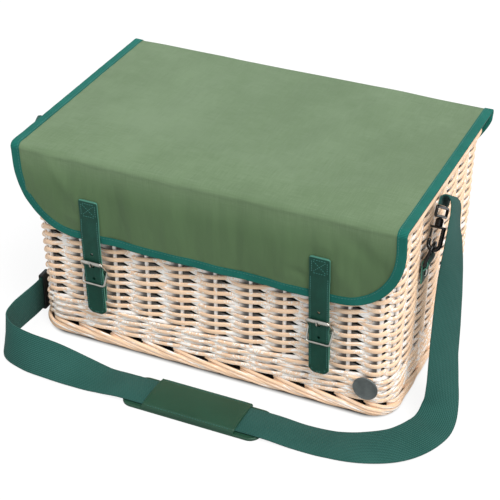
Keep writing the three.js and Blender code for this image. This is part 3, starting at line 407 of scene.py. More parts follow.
# %% The webbing's route: x, y, z and the direction of its width
WEBBING_WIDTH, WEBBING_THICK = 40, 1.8
webbing_route = np.array([
    (-217.3, -79.4, 217.2, 0, 0.84, 0.54), (-222, -81, 219.5, 0, 0.84, 0.54),
    (-226.7, -79.4, 217.2, 0, 0.84, 0.54), (-229, -76.9, 213.2, 0, 0.84, 0.54),
    (-231, -70.3, 203.2, 0, 0.84, 0.54), (-233, -62.2, 190.6, -0.1, 0.84, 0.52),
    (-235, -46, 167, -0.3, 0.82, 0.45), (-237, -28, 138, -0.5, 0.78, 0.36),
    (-238.5, -10, 106, -0.75, 0.6, 0.22), (-239.5, 3, 73, -0.92, 0.36, 0.1),
    (-239, 8, 44, -1, 0.12, 0.02), (-238, 4, 21, -1, 0, 0),
    (-237, -9, 8.5, -1, 0, 0.1), (-233, -26, 11, -1, 0, 0.45),
    (-226, -46, 19.4, -0.6, 0, 0.8), (-221, -68, 22.6, 0, 0, 1),
    (-220, -88, 22.6, 0, 0, 1), (-220, -108, 22.4, 0, 0, 1),
    (-222, -130, 22, 0, 0.05, 1), (-223, -152, 21.8, 0, 0.15, 1),
    (-219, -172, 21.4, -0.05, 0.3, 1), (-206, -187, 20.6, 0, 0.4, 1),
    (-182, -193, 18.4, 0, 0.6, 1), (-152, -192, 14.6, 0, 1, 0.8),
    (-120, -189, 8, 0, 1, 0.32), (-92, -187, 3.8, 0, 1, 0.06),
    (-66, -186.5, 4.8, 0, 1, 0), (-30, -186.5, 4.8, 0, 1, 0),
    (17, -186.5, 4.8, 0, 1, 0), (64, -186.5, 4.8, 0, 1, 0),
    (100, -186, 4.6, 0, 1, 0), (132, -185, 1.8, 0, 1, 0),
    (166, -183.5, 2.6, -0.05, 1, 0.05), (198, -178, 6, -0.25, 1, 0.2),
    (226, -163, 8, -0.7, 0.8, 0.3), (243, -139, 8.8, -1, 0.2, 0.35),
    (249, -115, 8.6, -1, -0.35, 0.3), (249, -98, 18, -0.8, -0.75, 0.1),
    (246, -87, 38, -0.6, -0.9, 0), (242, -77, 64, -0.5, -0.95, 0),
    (239, -66, 92, -0.5, -0.95, 0), (237, -59, 122, -0.45, -0.95, 0.05),
    (235.5, -54, 148, -0.36, -0.95, 0.15), (234.5, -50.5, 170, -0.22, -0.9, 0.3),
    (233, -45.8, 190.6, -0.08, -0.85, 0.48), (231, -37.7, 203.2, 0, -0.84, 0.54),
    (229, -31.1, 213.2, 0, -0.84, 0.54), (226.7, -28.6, 217.2, 0, -0.84, 0.54),
    (222, -27, 219.5, 0, -0.84, 0.54), (217.3, -28.6, 217.2, 0, -0.84, 0.54),
])
print(len(webbing_route), "points on the webbing's route")

# %% [markdown]
# ## Floor and light
# A product photograph stands on white: the table and the wall behind it are lit until they are
# plain white, and a painted shadow under the basket, with a breath of the real one, shows where
# it stands. One wide sun from the front and the right models the form, and a pale sky fills its shadows.

# %% The floor
FLOOR_HALF = 6.0
FLOOR_WHITE = 0.88  # how strongly the floor shines to the camera
SHADOW_PATCH = (0.172, 0.091)  # the painted shadow under the wicker: half its length and half its depth
SHADOW_PATCH_ROUND = 0.027  # and how far its round edge reaches beyond that
SHADOW_EDGE = 0.008
# grey for the light that bounces off the floor, and the painted shadow's grey that the camera sees where the
# floor doesn't glow
GREY_FLOOR, PAINTED_SHADOW_GREY = (0.5, 0.5, 0.5), (0.12, 0.12, 0.12)


def floor_finish():
    """A lit table: to the camera it is white of its own, so that only a breath of shadow shows, but
    under the basket a painted shadow makes it dark. To the light that bounces off it, it is a plain grey."""
    f = Finish("floor", GREY_FLOOR, 0.9, Specular_IOR_Level=0.0, Emission_Strength=FLOOR_WHITE)
    seen = f.node("LightPath", output=0)
    # painted shadow: the floor doesn't glow inside a round-cornered patch under the wicker
    beyond = []
    for axis, half in enumerate(SHADOW_PATCH):
        along = f.node("SeparateXYZ", {}, {0: f.place()}, output=axis)
        beyond.append((along.size() - half).at_least(0.0) ** 2)
    outside = (beyond[0] + beyond[1]) ** 0.5 - SHADOW_PATCH_ROUND
    lit = seen * f.between(outside, 0.0, SHADOW_EDGE)
    return f.feed(
        Base_Color=f.blend(seen, GREY_FLOOR, PAINTED_SHADOW_GREY),
        Emission_Color=f.blend(lit, (0.0, 0.0, 0.0), (1.0, 1.0, 1.0)),
    )


floor_mesh = bpy.data.meshes.new("floor")
floor_corners = np.array([(-1, -1, 0), (1, -1, 0), (1, 1, 0), (-1, 1, 0)]) * FLOOR_HALF
floor_mesh.from_pydata(floor_corners.tolist(), [], [(0, 1, 2, 3)])
floor_mesh.materials.append(floor_finish())
floor = add_object("floor", floor_mesh)

# %% The sky and the sun
SKY_COLOUR, SKY_STRENGTH = (0.95, 0.98, 1.0, 1), 0.8
world = bpy.data.worlds.new("studio")
scene.world = world
world.use_nodes = True
tree = world.node_tree
soft = tree.nodes["Background"]
soft.inputs["Color"].default_value = SKY_COLOUR
soft.inputs["Strength"].default_value = SKY_STRENGTH
white = tree.nodes.new("ShaderNodeBackground")
white.inputs["Color"].default_value = (1, 1, 1, 1)
rays = tree.nodes.new("ShaderNodeLightPath")
mix = tree.nodes.new("ShaderNodeMixShader")
for source, slot in ((rays.outputs["Is Camera Ray"], 0), (soft.outputs[0], 1), (white.outputs[0], 2)):
    tree.links.new(source, mix.inputs[slot])
tree.links.new(mix.outputs[0], tree.nodes["World Output"].inputs[0])

SUN_AZIMUTH, SUN_ELEVATION = 58, 56  # degrees
SUN_STRENGTH, SUN_COLOUR = 2.6, (1.0, 0.985, 0.96)
SUN_WIDE = math.radians(32)  # a wide sun casts soft shadows
sun = add_object("sun", bpy.data.lights.new("sun", "SUN"))
sun.data.energy = SUN_STRENGTH
sun.data.angle = SUN_WIDE
sun.data.color = SUN_COLOUR
sun.rotation_euler = direction(SUN_AZIMUTH, SUN_ELEVATION).to_track_quat("Z", "Y").to_euler()
print("sun at azimuth and elevation, degrees:", SUN_AZIMUTH, SUN_ELEVATION)

# %% [markdown]
# Webbing's finish is its weave. The ribs are a wave across the width, and each crossing thread
# is a wave along it, shifted by half a step on every other rib. The grooves are darker, because
# light doesn't reach into them, and the raised threads are worn a little paler.


# %% The webbing's finish
RIB, THREAD = 0.0019, 0.0023  # metres from one rib, and from one crossing thread, to the next


def webbing_finish(name, deep, pale):
    """Ribs and threads as one height, which colours the webbing and shades its relief."""
    f = Finish(name, deep, 0.85, Specular_IOR_Level=0.12, Sheen_Weight=0.05, Sheen_Roughness=0.5)
    along, across = f.run()
    half_step = (across / RIB).whole() * math.pi
    threads = (along * (2 * math.pi / THREAD) + half_step).sine() * 0.5 + 0.5
    weave = across.wave(RIB) * 0.65 + threads * 0.35
    patchy = f.noise(18, 3)
    colour = f.blend(f.between(weave * 0.75 + patchy * 0.5, 0.15, 1.0), deep, pale)
    return f.feed(Base_Color=colour, Normal=f.bump(weave, 0.0006, 0.8))


webbing = webbing_finish("webbing", (0.009, 0.054, 0.044), (0.032, 0.115, 0.098))

# %% Sweep the webbing along its route
RIBBON_SAMPLES = 6
RING_X, FITTING_Y, RING_Z = 216.484, -54.0, 178.0  # where the hook hangs in its ring
EYE_HIGH = 36.9  # from the ring's bow up to the top bar of the hook's eye
EYE_WIRE = 1.6
HOOK_LEAN = math.radians(33)
SIDES = (("left", -1), ("right", 1))


def side_piece(surfaces, side, name, node, looks, body=None):
    """A piece of the left or the right side. It rides on the basket or on a body of its side."""
    rides_on = f"{side}_{body}" if body else "basket"
    return surfaces.piece(f"{side}_{name}", *looks, [f"{side}_{node}"], rides_on)


def hook_way(side, x, y, z):
    """A direction of the hook's own drawing, which leans about X by the hook's lean."""
    lean = -side * HOOK_LEAN
    cos, sin = math.cos(lean), math.sin(lean)
    x, y, z = np.broadcast_arrays(np.asarray(x, float), y, z)
    return points(x, y * cos - z * sin, y * sin + z * cos)


def on_hook(side, local):
    """Points of the hook's drawing, x, y and z, put on their side of the basket."""
    x, y, z = np.asarray(local, float).T
    return hook_way(side, x, y, z) * (side, 1, 1) + (side * RING_X, FITTING_Y, RING_Z)


first_rise = EYE_HIGH + EYE_WIRE + 0.3
risen = [(0, 0, first_rise), (0, 0, first_rise + WEBBING_THICK * 2)]
route = np.concatenate([on_hook(-1, risen), webbing_route[:, :3], on_hook(1, risen)[::-1]])
end_ways = [[hook_way(-side, 0, side, 0)] * 2 for side in (1, -1)]
width_way = unit(np.concatenate([end_ways[0], webbing_route[:, 3:], end_ways[1]]))
ribbon_line = curve_through(route, RIBBON_SAMPLES)
knots = np.linspace(0, len(route) - 1, len(ribbon_line))
ribbon_width = points(*(np.interp(knots, np.arange(len(route)), way) for way in width_way.T))
ribbon_section = rounded(WEBBING_WIDTH / 2, WEBBING_THICK / 2, 0.8, 2, 8)
ribbon = sweep(Surfaces(), ribbon_line, ribbon_section, ribbon_width)
shoulder_strap = ribbon.piece("shoulder_strap_webbing", webbing, "webbing", ["shoulder_webbing"])

# %% [markdown]
# ## The wicker
# A stake-and-strand basket starts with upright stakes, and rods are woven round them. Paired rods
# twist half a turn between two stakes, so at each stake one rod lies in front and the other
# behind, and they change places in the gap. That is a helix round the line of the stakes: the
# angle gives how far the rod stands out and how high it rides at once. The same helix with three
# rods makes the stronger band near the foot, and with six the rope-like border of the rim.

# %% The walls' outline
RIM_TOP = 230.0
LEAN = RIM_TOP * math.tan(math.radians(1.12))  # each wall comes in this much towards the ground
WALL_HALF = np.array([208.5, 127.5])
WALL_CORNER = 26.0
STAKE_INSET = 5.2
corner_middle = WALL_HALF - WALL_CORNER


def wall_loop(t, inset, z):
    """A point of the outline and its outward direction. t runs from 0 to 8: even whole numbers
    start the straight walls (front, right, back, left) and odd ones start the round corners. The
    outline is drawn at the rim, then drawn in by LEAN (RIM_TOP - z) / RIM_TOP at each height."""
    t, inset, z = np.broadcast_arrays(np.asarray(t, float) % 8, inset, z)
    part = np.floor(t).astype(int)
    share = t - part
    wall, is_corner = part // 2, part % 2 == 1
    signs = np.array([(-1, -1), (1, -1), (1, 1), (-1, 1)])
    a, b = signs[wall] * corner_middle, signs[(wall + 1) % 4] * corner_middle
    centre = np.where(is_corner[..., None], b, a + (b - a) * share[..., None])
    angle = np.pi / 2 * (wall - 1 + np.where(is_corner, share, 0))
    out = points(np.cos(angle), np.sin(angle))
    flat = centre + out * (WALL_CORNER - inset)[..., None]
    flat = flat * (1 - LEAN * (RIM_TOP - z)[..., None] / RIM_TOP / WALL_HALF)
    return np.concatenate([flat, z[..., None]], -1), np.concatenate([out, z[..., None] * 0], -1)


# %% Where the stakes stand
FRONT_STAKES_SEEN = np.array([-148.9, -108.8, -71.0, -31.7, 8.0, 47.6, 85.1, 119.7, 155.5])
SEEN_SHARE = 0.98875  # they were measured halfway up, where the wall is this much of its length
FRONT_STAKES = FRONT_STAKES_SEEN / SEEN_SHARE
SIDE_STAKES = np.array([-73.0, -36.5, 0.0, 36.5, 73.0])
BACK_STAKES = np.linspace(-152.4, 152.4, 9)
CORNER_STAKES = np.array([0.25, 0.75])
FINE_STEPS = 4001


def on_wall(wall, places):
    """Places along a straight wall as values of t."""
    half = corner_middle[wall % 2]
    return 2 * wall + (places + half) / (2 * half)


walls_stakes = (FRONT_STAKES, SIDE_STAKES, BACK_STAKES, SIDE_STAKES)
stake_t = np.concatenate([
    np.concatenate([on_wall(wall, places), 2 * wall + 1 + CORNER_STAKES])
    for wall, places in enumerate(walls_stakes)
])
STAKES = len(stake_t)
fine_t = np.linspace(0, 8, FINE_STEPS)
fine_run = run_length(wall_loop(fine_t, STAKE_INSET, RIM_TOP / 2)[0])
round_run = float(fine_run[-1])
stake_run = np.interp(stake_t, fine_t, fine_run)
stake_run = np.append(stake_run, stake_run[0] + round_run)


def by_stakes(u, inset, z):
    """A point of the walls, where u counts stakes: 2.5 is midway between the third and fourth."""
    run = np.interp(np.asarray(u) % STAKES, np.arange(STAKES + 1), stake_run) % round_run
    return wall_loop(np.interp(run, fine_run, fine_t), inset, z)


print(STAKES, "stakes, round the walls in mm:", round(round_run))


# %% Twisted rods
def wander(u, random):
    """A smooth random wave of about unit size: four sines of random length and phase, which
    close on themselves after a whole round of the stakes."""
    sizes = random.normal(size=4) * 0.6
    turns = random.integers(3, 15, 4)
    phases = random.uniform(0, 2 * np.pi, 4)
    waves = np.sin(2 * np.pi * turns * np.asarray(u)[..., None] / STAKES + phases)
    return (sizes * waves).sum(-1)


def twisted(surfaces, z, random, rods, reach, rise, thick, tall, inset, samples, lead=0.0, sides=8, tuck=0):
    """One row of rods. The angle grows by a full turn in as many stakes as there are rods; a rod
    stands out by reach cos(angle) and rides high by rise sin(angle), and its section is an
    ellipse. Behind the stakes its height is pressed flat, rise sin(angle) |sin(angle)|^tuck."""
    u = np.arange(STAKES * samples) / samples
    for k in range(rods):
        angle = 2 * np.pi * ((u - lead) / rods + k / rods)
        depth = inset - reach * np.cos(angle) + 0.16 * wander(u, random)
        pressed = np.where(np.cos(angle) < 0, np.abs(np.sin(angle)) ** tuck, 1.0)
        height = z + rise * np.sin(angle) * pressed + 0.3 * wander(u, random)
        path, out = by_stakes(u, depth, height)
        size = 1 + 0.06 * wander(u, random) + 0.3 * np.clip(-np.cos(angle), 0, 1)
        section = ellipse(thick, tall, sides)
        facing = 0.85 + 0.15 * section[:, 0] / thick
        front = (0.5 + 0.5 * np.cos(angle))[:, None] * facing
        tone = np.clip(random.uniform(0.15, 0.85) + 0.08 * wander(u, random), 0, 1)
        sweep(surfaces, path, section * size[:, None, None], out, True, front=front, tone=tone[:, None])


# %% [markdown]
# Willow that is limed with whitewash and rubbed down keeps the white where the cloth can't
# reach: where a rod dives behind its stake, and in the fine grain. The rubbed fronts show the
# peach of the peeled wood. So the finish reads how far to the front each point lies, which the
# weave itself knows, and streaks of grain follow each rod's own length.


# %% The willow's finish
PEACH, PALE_PEACH = (0.88, 0.60, 0.40), (0.93, 0.71, 0.52)
WHITEWASH = (0.93, 0.90, 0.87)
TAN = (0.70, 0.42, 0.21)
GREY = (0.60, 0.57, 0.56)
SHADE = (0.07, 0.066, 0.062)  # painted shade, where a rod runs furthest back behind its stake


def willow_finish(name, rubbed):
    """rubbed shifts the balance: above 0 more of the whitewash is gone, below 0 more is left."""
    f = Finish(name, PEACH, 0.6, Specular_IOR_Level=0.35)
    front, tone = f.attribute("front"), f.attribute("tone")
    along, across = f.run()
    at = f.point(along * 9, across * 90, tone * 37)
    grain = f.noise(5, 4, at, roughness=0.6)
    patches = f.noise(1.6, 2, at)
    bare = front * 0.9 + (patches - 0.5) * 1.3 + (grain - 0.5) * 1.7 + rubbed
    colour = f.blend(f.between(bare, 0.37, 0.63), WHITEWASH, f.blend(tone * 0.55, PEACH, PALE_PEACH))
    colour = f.blend(f.between(grain, 0.56, 0.74) * 0.42, colour, TAN)
    colour = f.blend(f.between(patches, 0.62, 0.8) * (1 - front) * 0.35, colour, GREY)
    # painted shade: the part of each rod that lies furthest back, behind its stake, turns dark
    colour = f.blend(f.between(1 - front, 0.74, 0.95) * 0.85, colour, SHADE)
    return f.feed(Base_Color=colour, Roughness=0.5 + grain * 0.25, Normal=f.bump(grain, 0.0004, 0.5))


limed_willow = willow_finish("limed_willow", 0.0)
rubbed_willow = willow_finish("rubbed_willow", 0.02)
limed_stakes = willow_finish("limed_stakes", -0.35)
limed_waling = willow_finish("limed_waling", -0.2)

# %% Weave the walls
WEAVE_ROWS = 17
WEAVE_LOW, WEAVE_HIGH = 48.6, 216.6
PAIR = dict(samples=14, rods=2, reach=3.2, rise=2.5, thick=1.75, tall=2.45, inset=STAKE_INSET, tuck=3)
random = np.random.default_rng(11)
weave_pitch = (WEAVE_HIGH - WEAVE_LOW) / WEAVE_ROWS
lower_rows = WEAVE_ROWS // 2 + 1
halves = (("wall_weave_lower", range(lower_rows)), ("wall_weave_upper", range(lower_rows, WEAVE_ROWS)))
for name, its_rows in halves:
    weave = Surfaces()
    for row in its_rows:
        twisted(weave, WEAVE_LOW + weave_pitch * (row + 0.5), random, **PAIR)
    weave.piece(name, limed_willow, "whitewashed_willow", ["wall_weave"])

# %% [markdown]
# Below the walls a band of four closer rows binds the stakes: three rods work together, each in
# front of two stakes and behind one, which draws long slanting strokes. The same rods twist six
# at a time round the top, where the ends of the stakes are bent down and laid into a border.

# %% The waling above the foot, and the rim's border
WALE_LOW, WALE_HIGH, WALE_ROWS = 16.2, 48.2, 4
WALE_INSET = STAKE_INSET - 0.9
TRIPLE = dict(samples=12, rods=3, reach=3.3, rise=2.1, thick=1.9, tall=2.15, inset=WALE_INSET, lead=0.5)
ROPE = dict(samples=8, rods=6, reach=4.0, rise=3.5, thick=2.85, tall=2.85, inset=3.0, sides=10)
ROPE_Z = 223.5
waling = Surfaces()
wale_pitch = (WALE_HIGH - WALE_LOW) / WALE_ROWS
for row in range(WALE_ROWS):
    twisted(waling, WALE_LOW + wale_pitch * (row + 0.5), random, **TRIPLE)
waling.piece("foot_waling", limed_waling, "willow", ["foot_wale"])

rim = Surfaces()
twisted(rim, ROPE_Z, random, **ROPE)
rim.piece("rim_rope_border", rubbed_willow, "willow", ["rim_border"])


# %% [markdown]
# At the ground each stake is bent over and laid along the foot, over the ones that follow it,
# with a second rod beside it: long strokes that sink to the ground two stakes on. Where a stroke
# sinks away before the next one starts, a dark gap opens under the waling.

# %% The foot's border
FOOT_SAMPLES, FOOT_ROD, FOOT_LOWEST = 6, 2.1, 2.2
FOOT_WANDER = (0.03, 0.12, 0.18)  # how far a stroke strays: in stakes, in depth and in height
UPPER_STROKE = [
    (-0.3, 5.0, 14.6), (0.1, 1.2, 14.0), (0.5, -0.6, 12.3), (1.0, -0.8, 9.4), (1.5, -0.5, 6.0),
    (2.0, 0.9, 3.2), (2.4, 4.6, 2.5),
]
LOWER_STROKE = [
    (-0.3, 5.4, 10.8), (0.1, 1.0, 9.9), (0.5, -0.6, 8.3), (1.0, -0.8, 5.6), (1.5, 0.3, 3.2),
    (2.0, 3.0, 2.3), (2.3, 5.6, 2.3),
]
foot = Surfaces()
for stake in range(STAKES):
    for stroke in (UPPER_STROKE, LOWER_STROKE):
        line = curve_through(np.array(stroke) + random.normal(size=3) * FOOT_WANDER, FOOT_SAMPLES)
        path, out = by_stakes(line[:, 0] + stake, line[:, 1], np.maximum(line[:, 2], FOOT_LOWEST))
        size = FOOT_ROD * (1 + random.normal() * 0.05)
        taper = np.interp(np.linspace(0, 1, len(line)), [0, 0.1, 0.85, 1], [0.8, 1, 0.95, 0.7])
        tone = random.uniform(0.1, 0.9)
        sweep(foot, path, ellipse(size, size, 8) * taper[:, None, None], out, front=0.75, tone=tone)
foot.piece("foot_border_rods", rubbed_willow, "willow", ["foot_border"])

# %% The uprights
uprights = Surfaces()
stake_heights = np.linspace(6, 221, 24)
for stake in range(STAKES):
    path, out = by_stakes(stake, STAKE_INSET, stake_heights)
    bow = 0.25 * np.sin(stake_heights / 23 + stake)[:, None] * np.cross(out, (0, 0, 1))
    sweep(uprights, path + bow, ellipse(2.0, 2.2, 8), out, front=0.45, tone=random.uniform(0.2, 0.8))
corner_nodes = [f"corner_stake_{end}_{side}" for end in ("front", "back") for side in ("left", "right")]
uprights.piece("upright_stakes", limed_stakes, "whitewashed_willow", corner_nodes)

# %% [markdown]
# The base is woven flat: rods pass over and under thicker sticks. Each rod is a wave, and its
# neighbour is the same wave half a step on. It shows inside the open basket and from below.

# %% The woven base
BASE_MIDDLE, BASE_REACH = 20.3, 1.55  # the height of its ribs, and how far a rod swings past it
BASE_INSET, BASE_LEAN = 9.6, 0.92  # how far in from the walls' outline, and its share of their lean
BASE_ROD, BASE_PITCH = 2.15, 4.55
BASE_CORNER = 15.0
RIB_PITCH, RIB_ROD = 40.0, 1.5
base_half = WALL_HALF - BASE_INSET - LEAN * BASE_LEAN
base = Surfaces()
for k, y in enumerate(np.arange(-base_half[1] + 2.6, base_half[1] - 2.0, BASE_PITCH)):
    over = max(abs(y) - (base_half[1] - BASE_CORNER), 0)
    half = base_half[0] - BASE_CORNER + math.sqrt(max(BASE_CORNER**2 - over**2, 0)) - 1.5
    x = np.linspace(-half, half, 91)
    swing = np.cos(np.pi * x / RIB_PITCH + np.pi * k)
    z = BASE_MIDDLE + BASE_REACH * swing + 0.1 * wander(x, random)
    path = points(x, y + 0.2 * wander(x, random), z)
    front = (0.55 + 0.45 * swing)[:, None]
    sweep(base, path, ellipse(BASE_ROD, BASE_ROD, 6), (0, 1, 0), front=front, tone=random.uniform(0, 1))
for x in np.arange(-4, 5) * RIB_PITCH:
    path = points(x, np.linspace(-base_half[1] + 1.5, base_half[1] - 1.5, 12), BASE_MIDDLE)
    sweep(base, path, ellipse(RIB_ROD, RIB_ROD, 8), (1, 0, 0), front=0.3, tone=random.uniform(0, 1))
base.piece("woven_base", rubbed_willow, "willow", ["base_panel"])

# %% The sticks under the base
STICK_ROD = 3.9
sticks = Surfaces()
for k in range(3):
    low, high = node_box(f"base_stick_{k + 1}")
    y = np.linspace(low[1], high[1], 25)
    path = points((low[0] + high[0]) / 2 + 0.3 * np.sin(y / 31 + k), y, (low[2] + high[2]) / 2)
    taper = STICK_ROD - 0.25 * (1 + np.sin(y / 40 + 2 * k)) / 2
    sweep(sticks, path, ellipse(1, 1, 14) * taper[:, None, None], (1, 0, 0), front=0.5, tone=0.3 * k)
sticks.piece("base_sticks", rubbed_willow, "willow", ["base_stick_1", "base_stick_2", "base_stick_3"])

# %% [markdown]
# ## Canvas
# The lid and the front flap are one length of waxed canvas: flat over a stiff board, round a soft
# fold, and down over the front, where its lower corners are cut to long curves. Cloth like this
# has no thickness to speak of but a will of its own: it never lies quite flat. A flat grid is
# bent round the fold, then each point moves along its own normal by the height of the creases.

# %% The canvas as a function of x and s, the distance along the cloth from the rear edge
FLAP_LEAN = math.radians(3)
FOLD_Z, FLAP_Y = 238.0, -136.919  # the fold line, from which the flap hangs
LID_REAR, CANVAS_Z = 134.0, 235.75
CANVAS_HALF = 213.7
CORNER_WIDE, CORNER_HIGH, FLAP_LOW = 67.7, 76.7, 101.7
FLAP_START = 10.0  # how far down the flap the fold's curve ends
FLAP_SPARE = 20.0  # how far the profile runs on below the flap
STRAP_CENTRE = 128.0  # the leather straps press the canvas flat here


def down_flap(w, off=0.0):
    """(y, z) of a point w below the fold line and `off` out from the flap's middle, on the
    flap's lean: it comes in towards the wall by w sin(lean)."""
    w = np.asarray(w, float)
    cos, sin = math.cos(FLAP_LEAN), math.sin(FLAP_LEAN)
    return points(FLAP_Y + w * sin - off * cos, FOLD_Z - w * cos - off * sin)


def on_profile(profile, x, s, side):
    """A point of a cloth and its normal. The profile, rows of (y, z), gives the point for s, and
    its direction turned by a right angle, to the side 1 or -1, gives the normal."""
    run = run_length(profile)
    x, s = np.broadcast_arrays(np.asarray(x, float), s)
    at, ahead, behind = (
        points(x, np.interp(s + d, run, profile[:, 0]), np.interp(s + d, run, profile[:, 1]))
        for d in (0, 1, -1)
    )
    return at, side * np.cross(unit(ahead - behind), (1.0, 0, 0))


fold_knots = np.array([
    (-112, 0), (-122, 0.1), (-129.5, 0.35), (-134.2, -0.4), (-136.7, -3.2),
]) + (0, CANVAS_Z)
fold_line = curve_through(np.concatenate([fold_knots, down_flap([FLAP_START, FLAP_START + 8])]), 12)
flap_end = down_flap([FLAP_LOW + FLAP_SPARE])
canvas_profile = np.concatenate([[(LID_REAR, CANVAS_Z)], fold_line, flap_end])
FOLD_S = float(run_length(canvas_profile)[-1]) - FLAP_LOW - FLAP_SPARE  # s of the fold line
print("from the rear edge to the fold, mm:", round(FOLD_S, 1))

# %% Creases, waves and puckers
# Each crease: its place (x, s), its way in degrees, its length, its width and its height.
CREASES = [
    ((-150, 190), 62, 90, 14, 0.7), ((-60, 120), 70, 120, 22, 0.5), ((95, 90), 100, 110, 26, 0.5),
    ((20, 215), 8, 120, 18, 0.6), ((150, 210), -30, 70, 16, 0.5), ((-150, 310), 55, 34, 7, 1.0),
    ((-95, 330), 96, 40, 12, -1.2), ((-30, 325), 88, 46, 16, 1.1), ((40, 330), 92, 44, 14, -0.9),
    ((84, 325), 85, 40, 10, 0.9), ((150, 335), 60, 26, 7, 1.0), ((175, 305), 40, 36, 9, -0.8),
    ((-185, 300), 120, 36, 9, 0.7), ((112, 345), 20, 16, 5, -0.8), ((-140, 348), 25, 15, 5, 0.8),
]
CREASE_HIGH = 2.4  # all the creases' heights are times this
LONG_WAVES, FLAP_WAVES, PUCKERS = 0.6, 0.8, 0.28  # heights in millimetres


def crease(x, s, at, way, length, width, height):
    """A ridge: height exp(-(across / width)^2) exp(-(along / length)^2) about a point."""
    dx, ds = x - at[0], s - at[1]
    cos, sin = math.cos(math.radians(way)), math.sin(math.radians(way))
    return height * hump(ds * cos - dx * sin, width) * hump(dx * cos + ds * sin, length)


def flap_bottom(x):
    """How far down the flap reaches at x: a straight edge, and an ellipse at each corner."""
    over = ramp(np.abs(x), CANVAS_HALF - CORNER_WIDE, CORNER_WIDE)
    return FLAP_LOW - CORNER_HIGH + CORNER_HIGH * np.sqrt(1 - over**2)


def canvas_height(x, s):
    """The creases, some long soft waves, and small puckers where the tape is sewn on."""
    w = s - FOLD_S
    to_edge = np.minimum(CANVAS_HALF - np.abs(x), np.maximum(flap_bottom(x) - w, 0))
    height = CREASE_HIGH * sum(crease(x, s, *one) for one in CREASES)
    height = height + FLAP_WAVES * ramp(w, 0, 50) * np.sin(x / 17 + 1.5 * np.sin(x / 71))
    waves = np.sin(x / 41 + 0.6 * np.sin(s / 60)) * np.sin(s / 53 + 0.7)
    height = height + LONG_WAVES * (waves + 0.8) * (1 - hump(to_edge, 25))
    puckers = np.sin(x / 2.9 + np.sin(x / 9)) * np.sin(s / 3.3 + np.sin(s / 11))
    height = height + PUCKERS * puckers * hump(to_edge - 12, 6)
    return height * (1 - hump(np.abs(x) - STRAP_CENTRE, 14, power=4) * ramp(w, 38, 10))


def canvas_point(x, s):
    """A point of the canvas, raised along its normal by the creases, and the normal."""
    at, normal = on_profile(canvas_profile, x, s, 1)
    return at + normal * canvas_height(at[..., 0], np.asarray(s, float))[..., None], normal


# %% [markdown]
# Canvas is a plain weave: each warp thread goes over one weft thread and under the next. Two
# crossed waves make that relief. The dye is uneven, a few thicker threads (slubs) run across, and
# the wax is rubbed pale along the ridges.


# %% The canvas' and the tape's finishes
CANVAS_THREAD, TAPE_RIB = 0.0011, 0.0012  # metres
SHADED_FLAP_GREEN = (0.088, 0.150, 0.068)  # the flap's painted shade: darker than the lid, as a hanging face gets less light
FOLD_TIGHT, FOLD_WIDE = 0.006, 0.028  # metres over which the light turns the fold softly
FOLD_DEEP = 100
SAG_LID, SAG_FLAP = 14, 68  # how strongly the broad folds shade the lid, and the flap besides


def plain_weave(along, across, thread):
    """Warp and weft as two crossed waves: 1 on top of a thread and 0 in the dips."""
    step = 2 * math.pi / thread
    return ((along * step).sine() * (across * step).sine()) * 0.5 + 0.5


def canvas_finish(name, deep, pale):
    """Uneven dye, slubs and weave colour the cloth, and the flap is painted darker, as shade. Its
    relief adds broad folds, and the soft turn of the light at the flap's fold, exp(-distance / FOLD_WIDE)."""
    f = Finish(name, deep, 0.85, Specular_IOR_Level=0.2, Sheen_Weight=0.1, Sheen_Roughness=0.45)
    along, across = f.run()
    weave = plain_weave(along, across, CANVAS_THREAD)
    warp = f.noise(60, 2, f.point(along * 14, across * 0.8))
    weft = f.noise(60, 2, f.point(along * 0.8, across * 14))
    slubs = warp * 0.5 + weft * 0.5
    patches = f.noise(7, 4, roughness=0.6)
    folds = f.noise(1, 2, f.point(along * 7, across * 30), roughness=0.4)
    from_fold = ((along - (FOLD_S + 1) * MM) ** 2 + FOLD_TIGHT**2) ** 0.5 - FOLD_TIGHT
    soft_fold = 1 - math.e ** (from_fold / -FOLD_WIDE)
    shade = patches * 0.55 + slubs * 0.45 + (weave - 0.5) * 0.12
    colour = f.blend(f.between(shade, 0.38, 0.62), deep, pale)
    # painted shade: where `front` marks the flap, the colour turns to the darker green
    colour = f.blend(f.attribute("front"), colour, SHADED_FLAP_GREEN)
    sag = f.attribute("front") * SAG_FLAP + SAG_LID
    relief = f.bump(weave + slubs * 0.8 + folds * sag + soft_fold * FOLD_DEEP, 0.00035, 0.6)
    return f.feed(Base_Color=colour, Roughness=0.78 + patches * 0.15, Normal=relief)


def tape_finish(name, deep, pale):
    """Cotton tape has fine ribs straight across it."""
    f = Finish(name, deep, 0.8, Specular_IOR_Level=0.15, Sheen_Weight=0.05, Sheen_Roughness=0.4)
    ribs = f.run()[0].wave(TAPE_RIB)
    colour = f.blend(f.between(ribs * 0.5 + f.noise(40, 3) * 0.6, 0.2, 0.85), deep, pale)
    return f.feed(Base_Color=colour, Normal=f.bump(ribs, 0.0003, 0.7))


canvas = canvas_finish("sage_canvas", (0.126, 0.189, 0.101), (0.169, 0.241, 0.140))
tape = tape_finish("green_tape", (0.004, 0.088, 0.068), (0.014, 0.165, 0.132))
thread_finish = Finish("green_thread", (0.015, 0.14, 0.115), 0.7, Sheen_Weight=0.2)
thread_green = thread_finish.feed(Roughness=thread_finish.noise(900, 2) * 0.3 + 0.55)

